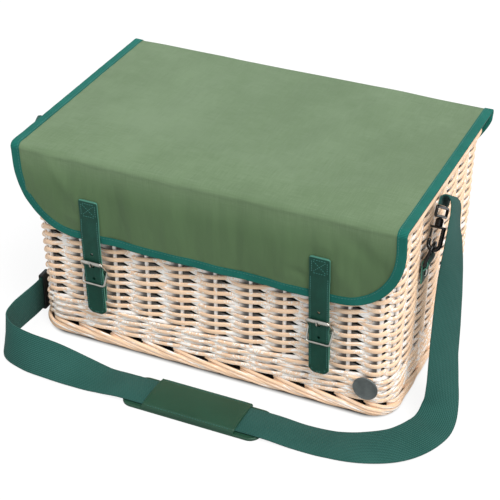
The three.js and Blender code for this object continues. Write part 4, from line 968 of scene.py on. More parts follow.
# %% Lay the canvas
CLOTH_THICK = 1.0
straight_half = CANVAS_HALF - CORNER_WIDE  # half of the flap's straight lower edge
corner_x = straight_half + CORNER_WIDE * np.sin(np.linspace(0, np.pi / 2, 17)[1:])
across_x = np.concatenate([-corner_x[::-1], np.linspace(-1, 1, 73) * straight_half, corner_x])
lid_rows = np.linspace(0, FOLD_S - 24, 56)
fold_rows = np.linspace(FOLD_S - 22, FOLD_S + FLAP_START, 22)
share_down = np.linspace(0, 1, 49)[1:, None]
flap_rows = FOLD_S + FLAP_START + (flap_bottom(across_x)[None] - FLAP_START) * share_down
level_rows = np.repeat(np.concatenate([lid_rows, fold_rows])[:, None], len(across_x), 1)
canvas_rows = np.concatenate([level_rows, flap_rows])


def cloth(x, s, thick, point, shade_share=0.0):
    """Both faces of a cloth and its edge in one closed skin: out along the lower face and back
    along the upper one, `thick` apart. `shade_share` marks where it is painted darker, as shade."""
    at, normal = point(x, s)
    half = normal * thick / 2
    shade_share = np.broadcast_to(shade_share, s.shape)
    skin = np.concatenate([at - half, (at + half)[:, ::-1]], 1)
    around = np.concatenate([x, x[::-1], x[:1]])
    front = np.concatenate([shade_share, shade_share[:, ::-1]], 1)
    surfaces = Surfaces().add(skin[None], s[:, s.shape[1] // 2], around, (False, True), front=front)
    for row, order in ((0, -1), (-1, 1)):
        ends = np.stack([at[row] - half[row], at[row] + half[row]])[::order]
        surfaces.add(ends[None], s[row, 0] + np.array([0, thick]), x, front=shade_share[row])
    return surfaces


# painted shade: the flap darkens from 14 mm above the fold over the next 62 mm, for the light turning at the
# fold
flap_shade_share = smooth(ramp(canvas_rows, FOLD_S - 14, 62))
lid_and_flap = cloth(across_x, canvas_rows, CLOTH_THICK, canvas_point, flap_shade_share)
canvas_nodes = ["lid_canvas", "flap_canvas"]
canvas_piece = lid_and_flap.piece("lid_and_flap_canvas", canvas, "canvas", canvas_nodes, None)
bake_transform(canvas_piece)
canvas_area = (FOLD_S * 2 * CANVAS_HALF + np.trapz(flap_bottom(across_x), across_x)) * MM**2

# %% [markdown]
# A raw edge frays, so a tape 20 mm wide is folded over it and sewn through all three layers. Its
# section is a narrow C. It follows the canvas' outline, with its open side turned to the cloth.

# %% Bind the edges with tape
TAPE_REACH, TAPE_HALF, TAPE_HOLLOW = 8.7, 1.45, 0.62
RIPPLE = 0.06  # sewing draws the tape in and lets it out by this share
corner_s = FOLD_S + FLAP_LOW - CORNER_HIGH
edge_s = np.concatenate([np.linspace(0, FOLD_S - 24, 60), np.linspace(FOLD_S - 22, corner_s, 28)])
quarter = np.linspace(0, np.pi / 2, 40)[1:]
left_corner = points(
    -straight_half - CORNER_WIDE * np.cos(quarter), corner_s + CORNER_HIGH * np.sin(quarter)
)
left_outline = np.concatenate([points(-CANVAS_HALF, edge_s), left_corner])
bottom = points(np.linspace(-straight_half, straight_half, 75)[1:-1], FOLD_S + FLAP_LOW)
outline = np.concatenate([left_outline, bottom, left_outline[::-1] * (-1, 1)])


def tape_section(reach=TAPE_REACH, half=TAPE_HALF, hollow=TAPE_HOLLOW):
    """A C round the cloth's edge, anticlockwise: out along one side, round, and back inside."""
    round_edge = np.linspace(-np.pi / 2, np.pi / 2, 7)
    outer = points(-0.15 + half * np.cos(round_edge), half * np.sin(round_edge))
    start = np.array([-reach, -half * 0.85])
    outside = np.concatenate([start + (outer[0] - start) * np.linspace(0, 1, 5)[:-1, None], outer])
    back = (outside[:4] * (1, -1))[::-1]
    inside = np.array([(-reach, hollow), (-0.3, hollow), (-0.3, -hollow), (-reach, -hollow)])
    return np.concatenate([outside, back, inside])


raised_line, edge_normal = canvas_point(outline[:, 0], outline[:, 1])
quarter_height = 0.25 * canvas_height(outline[:, 0], outline[:, 1])[:, None]
edge_line = raised_line - edge_normal * quarter_height
edge_run = run_length(edge_line)
edge_out = np.cross(heading(edge_line), edge_normal)
ripple = 1 + RIPPLE * np.sin(edge_run / 3.1 + np.sin(edge_run / 17))[:, None, None]
rippled_section = tape_section() * np.concatenate([ripple * 0 + 1, ripple], -1)
edge_tape = sweep(Surfaces(), edge_line, rippled_section, edge_out)
tape_nodes = ["lid_binding_left", "lid_binding_right", "flap_binding"]
tape_piece = edge_tape.piece("edge_tape", tape, "binding", tape_nodes, None, sharp=60)
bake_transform(tape_piece)


# %% Sew: stitches as small spindles of thread along a line
def stitches(surfaces, line, normal, pitch, length, radius):
    """Threads of `length` every `pitch` along a line. Each rises by radius sin(pi t) from where
    the needle went in to where it came out, and is thinner at both ends."""
    run = run_length(line)
    count = int((run[-1] - length) / pitch)
    t = np.linspace(0, 1, 5)
    margin = (run[-1] - (count - 1) * pitch - length) / 2
    at = (np.arange(count) * pitch)[:, None] + margin + length * t
    pick = lambda a: points(*(np.interp(at, run, a[:, k]) for k in range(3)))
    up = pick(np.broadcast_to(normal, line.shape))
    rise = (np.sin(np.pi * t) * 1.3 - 0.5)[:, None] * radius
    taper = np.array([0.45, 0.95, 1.0, 0.95, 0.45])[:, None, None]
    section = ellipse(radius, radius * 1.15, 6) * taper
    return sweep(surfaces, pick(line) + up * rise, section, up, front=1.0, tone=0.5)


seam = edge_line - edge_out * (TAPE_REACH - 1.6) + edge_normal * TAPE_HALF * 0.9
tape_thread = stitches(Surfaces(), seam, edge_normal, 3.4, 2.5, 0.3)
tape_stitches = tape_thread.piece("edge_tape_stitches", thread_green, "binding", body=None)
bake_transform(tape_stitches)

# %% [markdown]
# Behind, a short drop of the same canvas is sewn to the lid's rear edge and laced to the wicker.
# It is the lid's hinge, where the cloth itself bends: it turns smoothly from the lid's edge down
# the back of the basket. Its ends are cut slanting and laced in round the wicker's corners.

# %% The drop behind the lid, drawn in by its lacing, and its taped ends
DRAWN_OVER, DRAWN_IN, DRAWN_ROUND = 56, 25, 6
DROP_LOOSE, DROP_FREE = 12, 40  # it is still straight at the first s, and quite free that much on
drop_profile = curve_through([
    (134.0, 235.9), (135.6, 235.3), (136.0, 233.0), (134.9, 230.2), (133.6, 227), (133.0, 220),
    (132.9, 200), (132.7, 185), (132.5, 170.5),
], 6)
drop_run = run_length(drop_profile)


def drop_point(x, s):
    """A point of the drop and its normal. Towards each end the lacing draws it in and forwards, by
    a square of the share of the last DRAWN_OVER millimetres, and more the lower the point is."""
    at, normal = on_profile(drop_profile, x, s, -1)
    x, low = at[..., 0], ramp(s, DROP_LOOSE, DROP_FREE)
    wave = low * (0.5 * np.sin(x / 15 + 0.8 * np.sin(x / 40)) + 0.25 * np.sin(x / 6.1))
    drawn = ramp(np.abs(x), CANVAS_HALF - DRAWN_OVER, DRAWN_OVER) ** 2 * low**1.3
    pulled = points(-np.sign(x) * DRAWN_IN * drawn, -DRAWN_ROUND * drawn, 0)
    return at + pulled + normal * wave[..., None], normal


drop_x = np.linspace(CANVAS_HALF, -CANVAS_HALF, 90)
drop_s = np.repeat(np.linspace(0, drop_run[-1], 34)[:, None], len(drop_x), 1)
drop_cloth = cloth(drop_x, drop_s, CLOTH_THICK, drop_point)
rear_drop = drop_cloth.piece("rear_drop_canvas", canvas, "canvas", ["rear_drop"], None)
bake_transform(rear_drop)
drop_tape = Surfaces()
for side in (-1, 1):
    line, normal = drop_point(side * CANVAS_HALF, np.linspace(1, drop_run[-1], 40))
    sweep(drop_tape, line, tape_section(), (side, 0, 0))
end_nodes = ["rear_binding_left", "rear_binding_right"]
rear_tapes = drop_tape.piece("rear_drop_tapes", tape, "binding", end_nodes, None, sharp=60)
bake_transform(rear_tapes)

# %% [markdown]
# ## Leather straps and their buckles
# Each strap is sewn to the flap in a box with a cross, runs down over the tape, behind the
# buckle's roller and lower bar, and hangs free below. The leather is a flat bar with eased edges,
# and it bends where it leaves the stitching, to pass over the tape. The punched holes are cut
# with a Boolean, as a punch would.


# %% Leather, metal and thread
def leather_finish(name, deep, pale, edge):
    """Small pebbles of grain, paler on the ridges, and paler still along the cut edges, which
    the attribute `front` marks: partly the raw edge's own colour, partly a painted highlight."""
    f = Finish(name, deep, 0.5, Specular_IOR_Level=0.25)
    grain = {"Vector": f.place(), "Scale": 1400.0, "Smoothness": 0.6}
    pebbles = f.node("TexVoronoi", {"feature": "SMOOTH_F1"}, grain)
    patches = f.noise(45, 3)
    ridge = (1 - pebbles) * 0.6 + f.noise(260, 4, stretch=(1.0, 1.0, 0.35)) * 0.5
    colour = f.blend(f.between(ridge * 0.6 + patches * 0.5, 0.35, 0.95), deep, pale)
    # the cut edges: partly the leather's own pale edge, partly a painted highlight
    colour = f.blend(f.attribute("front"), colour, edge)
    rough = 0.42 + patches * 0.16 + f.attribute("front") * 0.2
    return f.feed(Base_Color=colour, Roughness=rough, Normal=f.bump(ridge, 0.00035, 0.7))


def metal_finish(name, colour, roughness, **constants):
    """Plated or lacquered metal: smudges and fine scratches break up its gloss."""
    f = Finish(name, colour, roughness, **constants)
    smudges = f.noise(110, 3)
    scratches = f.noise(700, 2, stretch=(0.1, 1.0, 1.0))
    tint = tuple(min(1.0, part * 1.35) for part in colour)
    rough = roughness + (smudges - 0.5) * 0.12 + scratches * 0.06
    return f.feed(Base_Color=f.blend(f.between(smudges, 0.35, 0.75), colour, tint), Roughness=rough)


leather = leather_finish("green_leather", (0.003, 0.040, 0.026), (0.009, 0.070, 0.048), (0.075, 0.230, 0.175))
nickel = metal_finish("nickel_plate", (0.46, 0.44, 0.40), 0.2, Metallic=1.0)
lacquer = metal_finish("black_lacquer", (0.006, 0.0065, 0.0065), 0.22, Specular_IOR_Level=0.4)
LEATHER, SILVER, BLACK = (leather, "leather"), (nickel, "silver_metal"), (lacquer, "black_metal")

# %% Points on a strap
STRAP_HALF, STRAP_THICK = 11.0, 2.2
STRAP_START, STRAP_END = 51.0, 194.0  # w of the sewn end and of the tip
STRAP_OUT, TAPE_RISE = 2.25, 1.35  # how far out its middle is on the flap, and more over the tape
STITCHED_TO = 72.3  # w where the sewing ends, and the tail starts to lift
HOLES_W, HOLE = (117.0, 132.5, 148.0), 1.75
TOP = [(STRAP_START, 8.6), (51.3, 9.8), (51.9, 10.6), (53.0, STRAP_HALF)]  # w, and half the width
TIP = [
    (189.0, STRAP_HALF), (190.2, 10.3), (191.4, 9.3), (192.4, 8.3), (193.2, 7.2), (193.7, 6.3),
    (STRAP_END, 5.2),
]
BOX_W, BOX_A = (54.2, 69.8), 8.2  # the box of stitches
SEAM_A, SEAM_W = 9.1, 187.0  # the seams beside the edges, and where they turn in to the tip
SEWING = dict(pitch=2.7, length=2.0, radius=0.3)
SUNK = 0.05  # how deep the thread lies in the leather


def before_flap(centre, a, out, w):
    """A point `a` across from a strap's middle, `out` from the flap's middle, w down the flap."""
    a, out, w = np.broadcast_arrays(np.asarray(a, float), out, w)
    return np.concatenate([(centre + a)[..., None], down_flap(w, out)], -1)


def strap_point(centre, w, a=0.0, lift=0.0):
    """A point `lift` above the strap's middle, `a` across it. The strap lies on the flap, then
    over the tape, which is thicker: it rises by TAPE_RISE smooth((w - 72) / 24)."""
    return before_flap(centre, a, STRAP_OUT + TAPE_RISE * smooth(ramp(w, 72, 24)) + lift, w)


# %% Mark the cut edges, and punch holes
def pale_edges(section, half, band=0.35):
    """1 on the outermost band of a flat section and 0 elsewhere."""
    return (np.abs(section[:, 0]) > half - band).astype(float)


def bore(piece, tools):
    """Takes the tools' shapes out of a piece with a Boolean, and deletes the tools."""
    for tool in tools:
        cut = piece.modifiers.new("bore", "BOOLEAN")
        cut.object, cut.operation, cut.solver = tool, "DIFFERENCE", "EXACT"
    depsgraph = bpy.context.evaluated_depsgraph_get()
    bored = bpy.data.meshes.new_from_object(piece.evaluated_get(depsgraph))
    piece.modifiers.clear()
    piece.data = bored
    bored.set_sharp_from_angle(angle=math.radians(42))
    for tool in tools:
        bpy.data.objects.remove(tool)


def punch(path, section, out):
    """A cutting tool: a plain sweep that isn't a piece."""
    return add_object("tool", sweep(Surfaces(), path, section, out).mesh("tool"))


# %% Cut, punch and sew the straps
strap_w, strap_half = np.concatenate([TOP, points(np.linspace(54, 188, 90), STRAP_HALF), TIP]).T
plain_section = rounded(STRAP_HALF, STRAP_THICK / 2, 0.75, 9, 1, 4)
strap_sections = plain_section * points(strap_half / STRAP_HALF, 1)[:, None]
cut_end = (strap_w < 51.5)[:, None]
strap_pale = np.maximum(pale_edges(plain_section, STRAP_HALF), cut_end)
box = points(np.repeat(BOX_W, 2), (-BOX_A, BOX_A, BOX_A, -BOX_A))
strap_seams = [(box[k], box[(k + 1) % 4]) for k in range(4)] + [(box[0], box[2]), (box[1], box[3])]
strap_seams += [((STITCHED_TO, a), (SEAM_W, a)) for a in (-SEAM_A, SEAM_A)]
strap_seams += [((SEAM_W, SEAM_A), (191.6, 5.0)), ((SEAM_W, -SEAM_A), (191.6, -5.0))]
strap_seams += [((191.8, -4.4), (191.8, 4.4))]
outwards = np.array([0, -math.cos(FLAP_LEAN), -math.sin(FLAP_LEAN)])
for side, sign in SIDES:
    centre = sign * STRAP_CENTRE
    middle = strap_point(centre, strap_w)
    cut = sweep(Surfaces(), middle, strap_sections, (1, 0, 0), front=strap_pale)
    strap_nodes = [side + "_strap_root", side + "_strap_tail"]
    piece = cut.piece(side + "_leather_strap", leather, "leather", strap_nodes, None)
    drills = [strap_point(centre, w, lift=np.array([-4.0, 4.0])) for w in HOLES_W]
    bore(piece, [punch(drill, ellipse(HOLE, HOLE, 20), (1, 0, 0)) for drill in drills])
    lifting = bend(strap_point(centre, STITCHED_TO - 4), strap_point(centre, STITCHED_TO + 6))
    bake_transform(piece)

    sewing = Surfaces()
    for start, stop in strap_seams:
        w, a = np.linspace(start, stop, 60).T
        stitches(sewing, strap_point(centre, w, a, STRAP_THICK / 2 - SUNK), outwards, **SEWING)
    sewn = sewing.piece(side + "_strap_stitches", thread_green, "leather", body=None)
    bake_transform(sewn)


# %% [markdown]
# The roller buckle is bent from one wire. Its two outer bars lie before the strap and its middle
# bar behind it, so the sides are bowed. A short tube turns on the top bar, so the strap can be
# drawn tight without wear, and the prong is a loop of wire round the middle bar.

# %% The buckles' measures, and turned shapes
WIRE, PRONG = 1.2, 0.9  # radii
PLAY = 0.25
ROLLER_W, LOWER_W, MIDDLE_W = 126.0, 154.0, 140.0
ROLLER_OUT, LOWER_OUT, MIDDLE_OUT = 7.2, 6.2, -1.05  # how far out from the flap's middle
HALF_BUCKLE = 12.8
BAR_ENDS = np.array([-9.8, -5, 0, 5, 9.8])
SIDE_BOW = np.array([
    (12.15, 6.9, 126.9), (12.8, 5.3, 129.4), (12.95, 1.8, 134.6), (12.95, MIDDLE_OUT, 140.0),
    (12.95, 1.6, 145.2), (12.8, 4.8, 150.8), (12.15, 6.0, 153.2),
])
PRONG_ARM = [
    (0, MIDDLE_OUT + 0.6, 137.75), (0, 1.6, 133.9), (0, 5.6, 131.96), (0, 9.1, 129.6),
    (0, 10.6, 126.9), (0, 10.9, 125.2),
]
ROLLER_START = -11.3
ROLLER_TUBE = [
    (0, 1.5), (0, 1.95), (0.18, 2.15), (0.5, 2.2), (11.3, 2.2), (22.1, 2.2), (22.42, 2.15),
    (22.6, 1.95), (22.6, 1.5),
]


def turned(surfaces, start, way, rings, sides=24):
    """A turned shape: each (distance, radius) of the rings is a ring about the axis."""
    distance, radius = np.array(rings, float).T
    path = np.asarray(start, float) + np.asarray(way, float) * distance[:, None]
    normal = unit(np.cross(way, (0.3, 0.5, 0.8)))
    across = np.cross(way, normal)
    circle = ellipse(1, 1, sides)
    grid = path[:, None] + radius[:, None, None] * (circle[:, :1] * normal + circle[:, 1:] * across)
    u = run_length(points(distance, radius))
    v = np.linspace(0, 2 * np.pi * radius.max(), sides + 1)
    return surfaces.add(grid[None], u, v, (False, True), caps=True)


# %% Bend the buckles
top_bar = points(BAR_ENDS, ROLLER_OUT, ROLLER_W)
low_bar = points(-BAR_ENDS, LOWER_OUT, LOWER_W)
other_bow = (SIDE_BOW * (-1, 1, 1))[::-1]
buckle_loop = curve_through(np.concatenate([top_bar, SIDE_BOW, low_bar, other_bow]), 6, closed=True)
wire_section, prong_section = ellipse(WIRE, WIRE, 12), ellipse(PRONG, PRONG, 10)
ring_turn = np.linspace(0, 2 * np.pi, 20, endpoint=False)
ring_radius = WIRE + PLAY + PRONG
ring_out = MIDDLE_OUT + ring_radius * np.cos(ring_turn)
ring_w = MIDDLE_W - ring_radius * np.sin(ring_turn)
prong_arm = curve_through(PRONG_ARM, 6)
arm_share = np.linspace(0, 1, len(prong_arm))
prong_taper = np.interp(arm_share, [0, 0.7, 0.94, 1], [1, 1, 0.75, 0.4])[:, None, None]
for side, sign in SIDES:
    centre = sign * STRAP_CENTRE
    wire = Surfaces()
    sweep(wire, before_flap(centre, *buckle_loop.T), wire_section, (0, -0.6, 0.8), True)
    bar_across = np.linspace(-HALF_BUCKLE, HALF_BUCKLE, 9)
    sweep(wire, before_flap(centre, bar_across, MIDDLE_OUT, MIDDLE_W), wire_section, (0, 0, 1))
    side_piece(wire, side, "buckle_wire", "buckle_frame", SILVER, "buckle")

    tube_start = before_flap(centre, ROLLER_START, ROLLER_OUT, ROLLER_W)
    tube = turned(Surfaces(), tube_start, (1.0, 0, 0), ROLLER_TUBE)
    side_piece(tube, side, "buckle_roller_tube", "buckle_roller", SILVER, "roller")

    prong = Surfaces()
    sweep(prong, before_flap(centre, 0.0, ring_out, ring_w), prong_section, (1, 0, 0), True)
    sweep(prong, before_flap(centre, *prong_arm.T), prong_section * prong_taper, (1, 0, 0))
    side_piece(prong, side, "buckle_tongue", "buckle_prong", SILVER, "prong")

# %% [markdown]
# Each buckle hangs on a short leather that is folded over its middle bar and riveted through the
# wicker. A slot in the fold lets the prong through. The same folded leather, smaller, holds the
# ring of the shoulder strap on each end wall.

# %% Folded leather and rivets
FOLDED_THICK = 1.8
RIVET_HEAD = [(0, 0.05), (0.05, 1.5), (0.35, 2.9), (0.8, 3.7), (1.2, 4.0), (1.2, 2.0)]
ANCHOR_HALF, ANCHOR_LONG, ANCHOR_FOLD = 10, 38, 18
SLOT_HALF, SLOT_RISE = 2.5, 1.5
TAB_HALF, TAB_LONG, TAB_FOLD = 10.5, 24, 8
RING_WIRE = 1.8
RING_BAR_X, RING_BAR_Z = 211.634, 158.597


def folded_leather(bar, radius, length, fold):
    """The middle of a leather that goes up behind a bar, over it and down again: (out, up),
    with the bar's own place given."""
    out, up = bar
    loop_radius = radius + PLAY + FOLDED_THICK / 2
    over = np.linspace(0, np.pi, 13)
    back = out - loop_radius
    near = back + FOLDED_THICK + 0.3
    return np.concatenate([
        points(back, up + np.linspace(-length, -1.0, 14)),
        points(out - loop_radius * np.cos(over), up + loop_radius * np.sin(over)),
        curve_through([
            (out + loop_radius, up - 0.6), (out + loop_radius * 0.55, up - 4.2), (near, up - 7.4),
            (near, up - max(fold, 8.2)),
        ], 5),
    ])


def leather_strip(path, half, across):
    """A strip of folded leather, its cut edges pale."""
    strip = rounded(half, FOLDED_THICK / 2, 0.6, 6, 1)
    return sweep(Surfaces(), path, strip, across, front=pale_edges(strip, half)[None, :])


def rivet(side, name, axis):
    """A shank with a domed head at each end, along the node's own middle line."""
    low, high = node_box(f"{side}_{name}")
    start = (low + high) / 2
    start[axis] = low[axis]
    length = float(high[axis] - low[axis])
    rings = RIVET_HEAD + [(length - distance, radius) for distance, radius in reversed(RIVET_HEAD)]
    pin = turned(Surfaces(), start, np.eye(3)[axis], rings)
    return side_piece(pin, side, name + "_pin", name, SILVER)


# %% Hang the anchors and the ring tabs, and set their rivets
bar_y, bar_z = down_flap(MIDDLE_W, MIDDLE_OUT)
anchor_line = folded_leather((-bar_y, bar_z), WIRE, ANCHOR_LONG, ANCHOR_FOLD)
tab_line = folded_leather((RING_BAR_X, RING_BAR_Z), RING_WIRE, TAB_LONG, TAB_FOLD)
for side, sign in SIDES:
    centre = sign * STRAP_CENTRE
    path = points(centre, -anchor_line[:, 0], anchor_line[:, 1])
    anchor = leather_strip(path, ANCHOR_HALF, (1, 0, 0))
    piece = side_piece(anchor, side, "anchor_leather", "anchor_strap", LEATHER)
    slot_line = points(centre + np.array([-SLOT_HALF, SLOT_HALF]), bar_y, bar_z + SLOT_RISE)
    bore(piece, [punch(slot_line, rounded(6, 4.6, 0.5), (0, 1, 0))])
    rivet(side, "anchor_rivet", 1)
for side, sign in SIDES:
    path = points(tab_line[:, 0] * sign, FITTING_Y, tab_line[:, 1])
    side_piece(leather_strip(path, TAB_HALF, (0, 1, 0)), side, "tab_leather", "ring_tab", LEATHER)
    rivet(side, "tab_rivet", 0)

# %% [markdown]
# ## Rings, snap hooks and the slider
# The shoulder strap ends in a snap hook on each end wall. The hook is cast: a round bend that
# narrows to the nose, a shoulder that the sprung gate shuts against, and a barrel that the eye
# turns in. The webbing is sewn round the eye.

# %% The lines and sections of ring, hook and eye
RING_HALF, RING_HIGH = 13, 20
RING_TILT = math.asin((9 - 0.3 - 3.85) / RING_HIGH)  # the ring leans out on its tab by this
HOOK_BEND, HOOK_WIRE = 6.0, 2.2
SHANK_Z, GATE_Z = 18.0, 5.55
SHANK_ZS, NOSE_ZS = (16.4, 12.0, 8.0, 4.0), (1.2, 2.4, 3.6, 4.3, 4.9, 5.15)
SLIM = [1.0] * 24 + np.linspace(1, 0.94, 5).tolist() + [0.94, 0.93, 0.9, 0.72, 0.42, 0.15]
SHOULDER_ZS = (15.62, 15.9, 17.7, SHANK_Z)
BARREL = [(0, 3.6), (0.3, 3.95), (6.6, 3.95), (7.0, 3.5), (7.6, 3.4), (8.0, 3.1), (8.0, 2.3)]
GATE = [(0, 0.05), (0.1, 0.45), (0.5, 0.9), (1.0, 1.08), (8.7, 1.08), (9.2, 0.9), (9.6, 0.45), (9.7, 0.05)]
EYE_HALF, EYE_LOW, EYE_STUD = 22.1, 27.9, 18.7

half_turn = np.linspace(0, np.pi, 25)
ring_bow = points(0, -RING_HALF * np.cos(half_turn), RING_HIGH * np.sin(half_turn))
ring_bar = points(0, np.linspace(RING_HALF, -RING_HALF, 13)[1:-1], 0)
flat_ring = np.concatenate([ring_bow, ring_bar])
leaning_ring = flat_ring[:, 2:] * (math.sin(RING_TILT), 0, math.cos(RING_TILT)) + flat_ring * (0, 1, 0)
hook_line = np.concatenate([
    points(HOOK_BEND, 0, SHANK_ZS),
    points(HOOK_BEND * np.cos(half_turn), 0, -HOOK_BEND * np.sin(half_turn)),
    points(-HOOK_BEND, 0, NOSE_ZS),
])
hook_section = ellipse(HOOK_WIRE, HOOK_WIRE, 14) * np.array(SLIM)[:, None, None]
shoulder_section = rounded(8.15, 2.55, 1.6, 2, 2) * np.array([0.96, 1, 1, 0.94])[:, None, None]
eye_corners = points(0, EYE_HALF * np.array([-1, 1, 1, -1]), np.repeat([EYE_LOW, EYE_HIGH], 2))
eye_line = []
for k, corner in enumerate(eye_corners):
    after = eye_corners[(k + 1) % 4]
    from_before, to_after = unit(eye_corners[k - 1] - corner), unit(after - corner)
    eye_line += [corner + from_before * 1.5, corner + (from_before + to_after) * 0.42]
    eye_line += [corner + to_after * 1.5]
    eye_line += [corner + (after - corner) * share for share in (0.3, 0.5, 0.7)]

# %% Rings, hooks, gates and eyes
for side, sign in SIDES:
    up = hook_way(sign, 0, 0, 1) * (sign, 1, 1)
    ring_line = (leaning_ring + (RING_BAR_X, FITTING_Y, RING_BAR_Z)) * (sign, 1, 1)
    ring = sweep(Surfaces(), ring_line, ellipse(RING_WIRE, RING_WIRE, 14), (sign, 0, 0), True)
    side_piece(ring, side, "fitting_ring", "ring", BLACK)

    casting = Surfaces()
    sweep(casting, on_hook(sign, hook_line), hook_section, hook_way(sign, 0, 1, 0))
    sweep(casting, on_hook(sign, points(0, 0, SHOULDER_ZS)), shoulder_section, (sign, 0, 0))
    turned(casting, on_hook(sign, (0, 0, SHANK_Z)), up, BARREL)
    side_piece(casting, side, "snap_hook", "hook_body", BLACK)

    tongue = turned(Surfaces(), on_hook(sign, (-HOOK_BEND, 0, GATE_Z)), up, GATE, 14)
    side_piece(tongue, side, "hook_spring_gate", "hook_gate", BLACK, "gate")

    eye = Surfaces()
    sweep(eye, on_hook(sign, eye_line), ellipse(EYE_WIRE, EYE_WIRE, 12), (1, 0, 0), True)
    sweep(eye, on_hook(sign, points(0, 0, (EYE_STUD, EYE_LOW))), ellipse(1.8, 1.8, 12), (1, 0, 0))
    side_piece(eye, side, "swivel_eye", "hook_eye", BLACK)

# %% [markdown]
# The slider is a moulded loop that keeps the doubled webbing flat, with a bar down each face.

# %% The slider on the webbing
SLIDER_WALL = 2.4
slider_low, slider_high = node_box("strap_slider")
slider_middle, slider_half = (slider_low + slider_high) / 2, (slider_high - slider_low) / 2
loop_half = slider_half - SLIDER_WALL / 2
flat_loop = rounded(loop_half[0], loop_half[2], 1.1, 8, 2, 4)
slider_loop = points(flat_loop[:, 0], 0, flat_loop[:, 1])
slider_section = rounded(SLIDER_WALL / 2, slider_half[1], 0.7, 2, 4)
slider_out = slider_loop * (1, 0, 0.02)
moulding = sweep(Surfaces(), slider_loop + slider_middle, slider_section, slider_out, True)
plastic_finish = Finish("black_plastic", (0.012, 0.013, 0.013), 0.42, Specular_IOR_Level=0.45)
plastic_grain = plastic_finish.noise(1500, 2)
black_plastic = plastic_finish.feed(
    Roughness=plastic_grain * 0.2 + 0.3, Normal=plastic_finish.bump(plastic_grain, 0.00008, 0.6)
)
slider = moulding.piece("webbing_slider", black_plastic, "black_metal", ["strap_slider"])

# %% [markdown]
# ## Shoulder pad and badge
# The pad is foam between two layers of smooth coated cloth. The webbing runs through it, under a
# cover that is sewn down on both sides. Foam makes the cover swell between its seams: its height
# is the crown's parabola, pulled down along each seam.

# %% The pad's measures and its cloth
PAD_LONG, PAD_WIDE, PAD_ROUND = 78.0, 25.0, 12.5  # half its length and width, and its corners
PAD_X, PAD_Y = 17.0, -186.5
PAD_BASE = 3.6
FOAM_ROUND = 1.15
COVER_LONG = 52.0
COVER_LOW, CHANNEL_HALF, CHANNEL_TOP, COVER_TOP = 3.9, 20.3, 6.0, 9.0
SEAM_Y = 22.6
SWELL = 0.12


def coated_cloth(name, deep, pale):
    """Smooth coated cloth with a faint pebble and a little gloss."""
    f = Finish(name, deep, 0.42, Specular_IOR_Level=0.4)
    pebble, broad = f.noise(1100, 2), f.noise(24, 3)
    colour = f.blend(f.between(pebble * 0.5 + broad * 0.6, 0.3, 0.85), deep, pale)
    return f.feed(Base_Color=colour, Roughness=0.36 + broad * 0.18, Normal=f.bump(pebble, 0.00018, 0.6))


pad_cloth = coated_cloth("pad_cloth", (0.010, 0.048, 0.026), (0.016, 0.070, 0.040))

# %% Make up the pad's base
# The foam's skin from the middle of its lower face, round its edge, to its upper face: (inset, z).
edge_turn = np.linspace(-np.pi / 2, np.pi / 2, 9)
foam_edge = points(
    FOAM_ROUND - FOAM_ROUND * np.cos(edge_turn),
    PAD_BASE / 2 + (PAD_BASE / 2 - 0.02) * np.sin(edge_turn),
)
foam_top = [(2.2, 3.52), (3.2, 3.34), (4.2, 3.46), (6.0, 3.54), (12.0, 3.56)]
foam_levels = np.concatenate([[(3.4, 0.02), (2.4, 0.02)], foam_edge, foam_top])
foam_rings = []
for inset, z in foam_levels:
    corner = max(PAD_ROUND - inset, 0.5)
    ring = rounded(PAD_LONG - inset, PAD_WIDE - inset, corner, 30, 12, 9)
    foam_rings.append(points(ring[:, 0] + PAD_X, ring[:, 1] + PAD_Y, z))
foam_around = run_length(np.concatenate([foam_rings[0], foam_rings[0][:1]]))
foam_grid, foam_up = np.stack(foam_rings)[None], np.arange(len(foam_levels), dtype=float)
foam = Surfaces().add(foam_grid, foam_up, foam_around, (False, True), caps=True)
pad_base_piece = foam.piece("pad_foam_base", pad_cloth, "webbing", ["pad_base"])

# %% Shape the crowned cover
cover_y = np.linspace(-PAD_WIDE, PAD_WIDE, 61)
crown = CHANNEL_TOP + 1.2 + (COVER_TOP - CHANNEL_TOP - 1.2) * (1 - (cover_y / PAD_WIDE) ** 2)
crown -= 0.75 * hump(np.abs(cover_y) - SEAM_Y, 0.7) + 1.4 * ramp(np.abs(cover_y), 24.0, 1.0) ** 2
under = np.array([
    (PAD_WIDE, COVER_LOW), (CHANNEL_HALF + 0.4, COVER_LOW), (CHANNEL_HALF, COVER_LOW + 0.3),
    (CHANNEL_HALF - 0.2, CHANNEL_TOP - 0.05), (18.0, CHANNEL_TOP + 0.02),
])
channel_roof = points(np.linspace(-14, 14, 9), CHANNEL_TOP + 0.03)
upper_side = points(cover_y, crown)[::-1]
cover_section = np.concatenate([upper_side, under * (-1, 1), channel_roof, under[::-1]])
left_end = [-COVER_LONG, -COVER_LONG + 0.25, -COVER_LONG + 0.9]
cover_long = np.linspace(-COVER_LONG + 2.4, COVER_LONG - 2.4, 60)
cover_x = np.concatenate([left_end, cover_long, -np.array(left_end)[::-1]])
from_end = COVER_LONG - np.abs(cover_x)
end_drop = (1 - ramp(from_end, 0, 1.2)) ** 2 * 0.9 + 0.45 * hump(from_end - 3.2, 1)
is_upper = np.arange(len(cover_section)) < len(cover_y)
swell = np.sin(cover_x / 9.0)[:, None] * SWELL * hump(cover_section[:, 0], 16, power=4)
cover_z = cover_section[:, 1] + (swell - end_drop[:, None]) * is_upper
cover_grid = points(cover_x[:, None] + PAD_X, cover_section[:, 0] + PAD_Y, cover_z)
cover_around = run_length(np.concatenate([cover_section, cover_section[:1]]))
cover = Surfaces().add(cover_grid[None], cover_x, cover_around, (False, True), caps=True)
pad_cover_piece = cover.piece("pad_crowned_cover", pad_cloth, "webbing", ["pad_cover"])

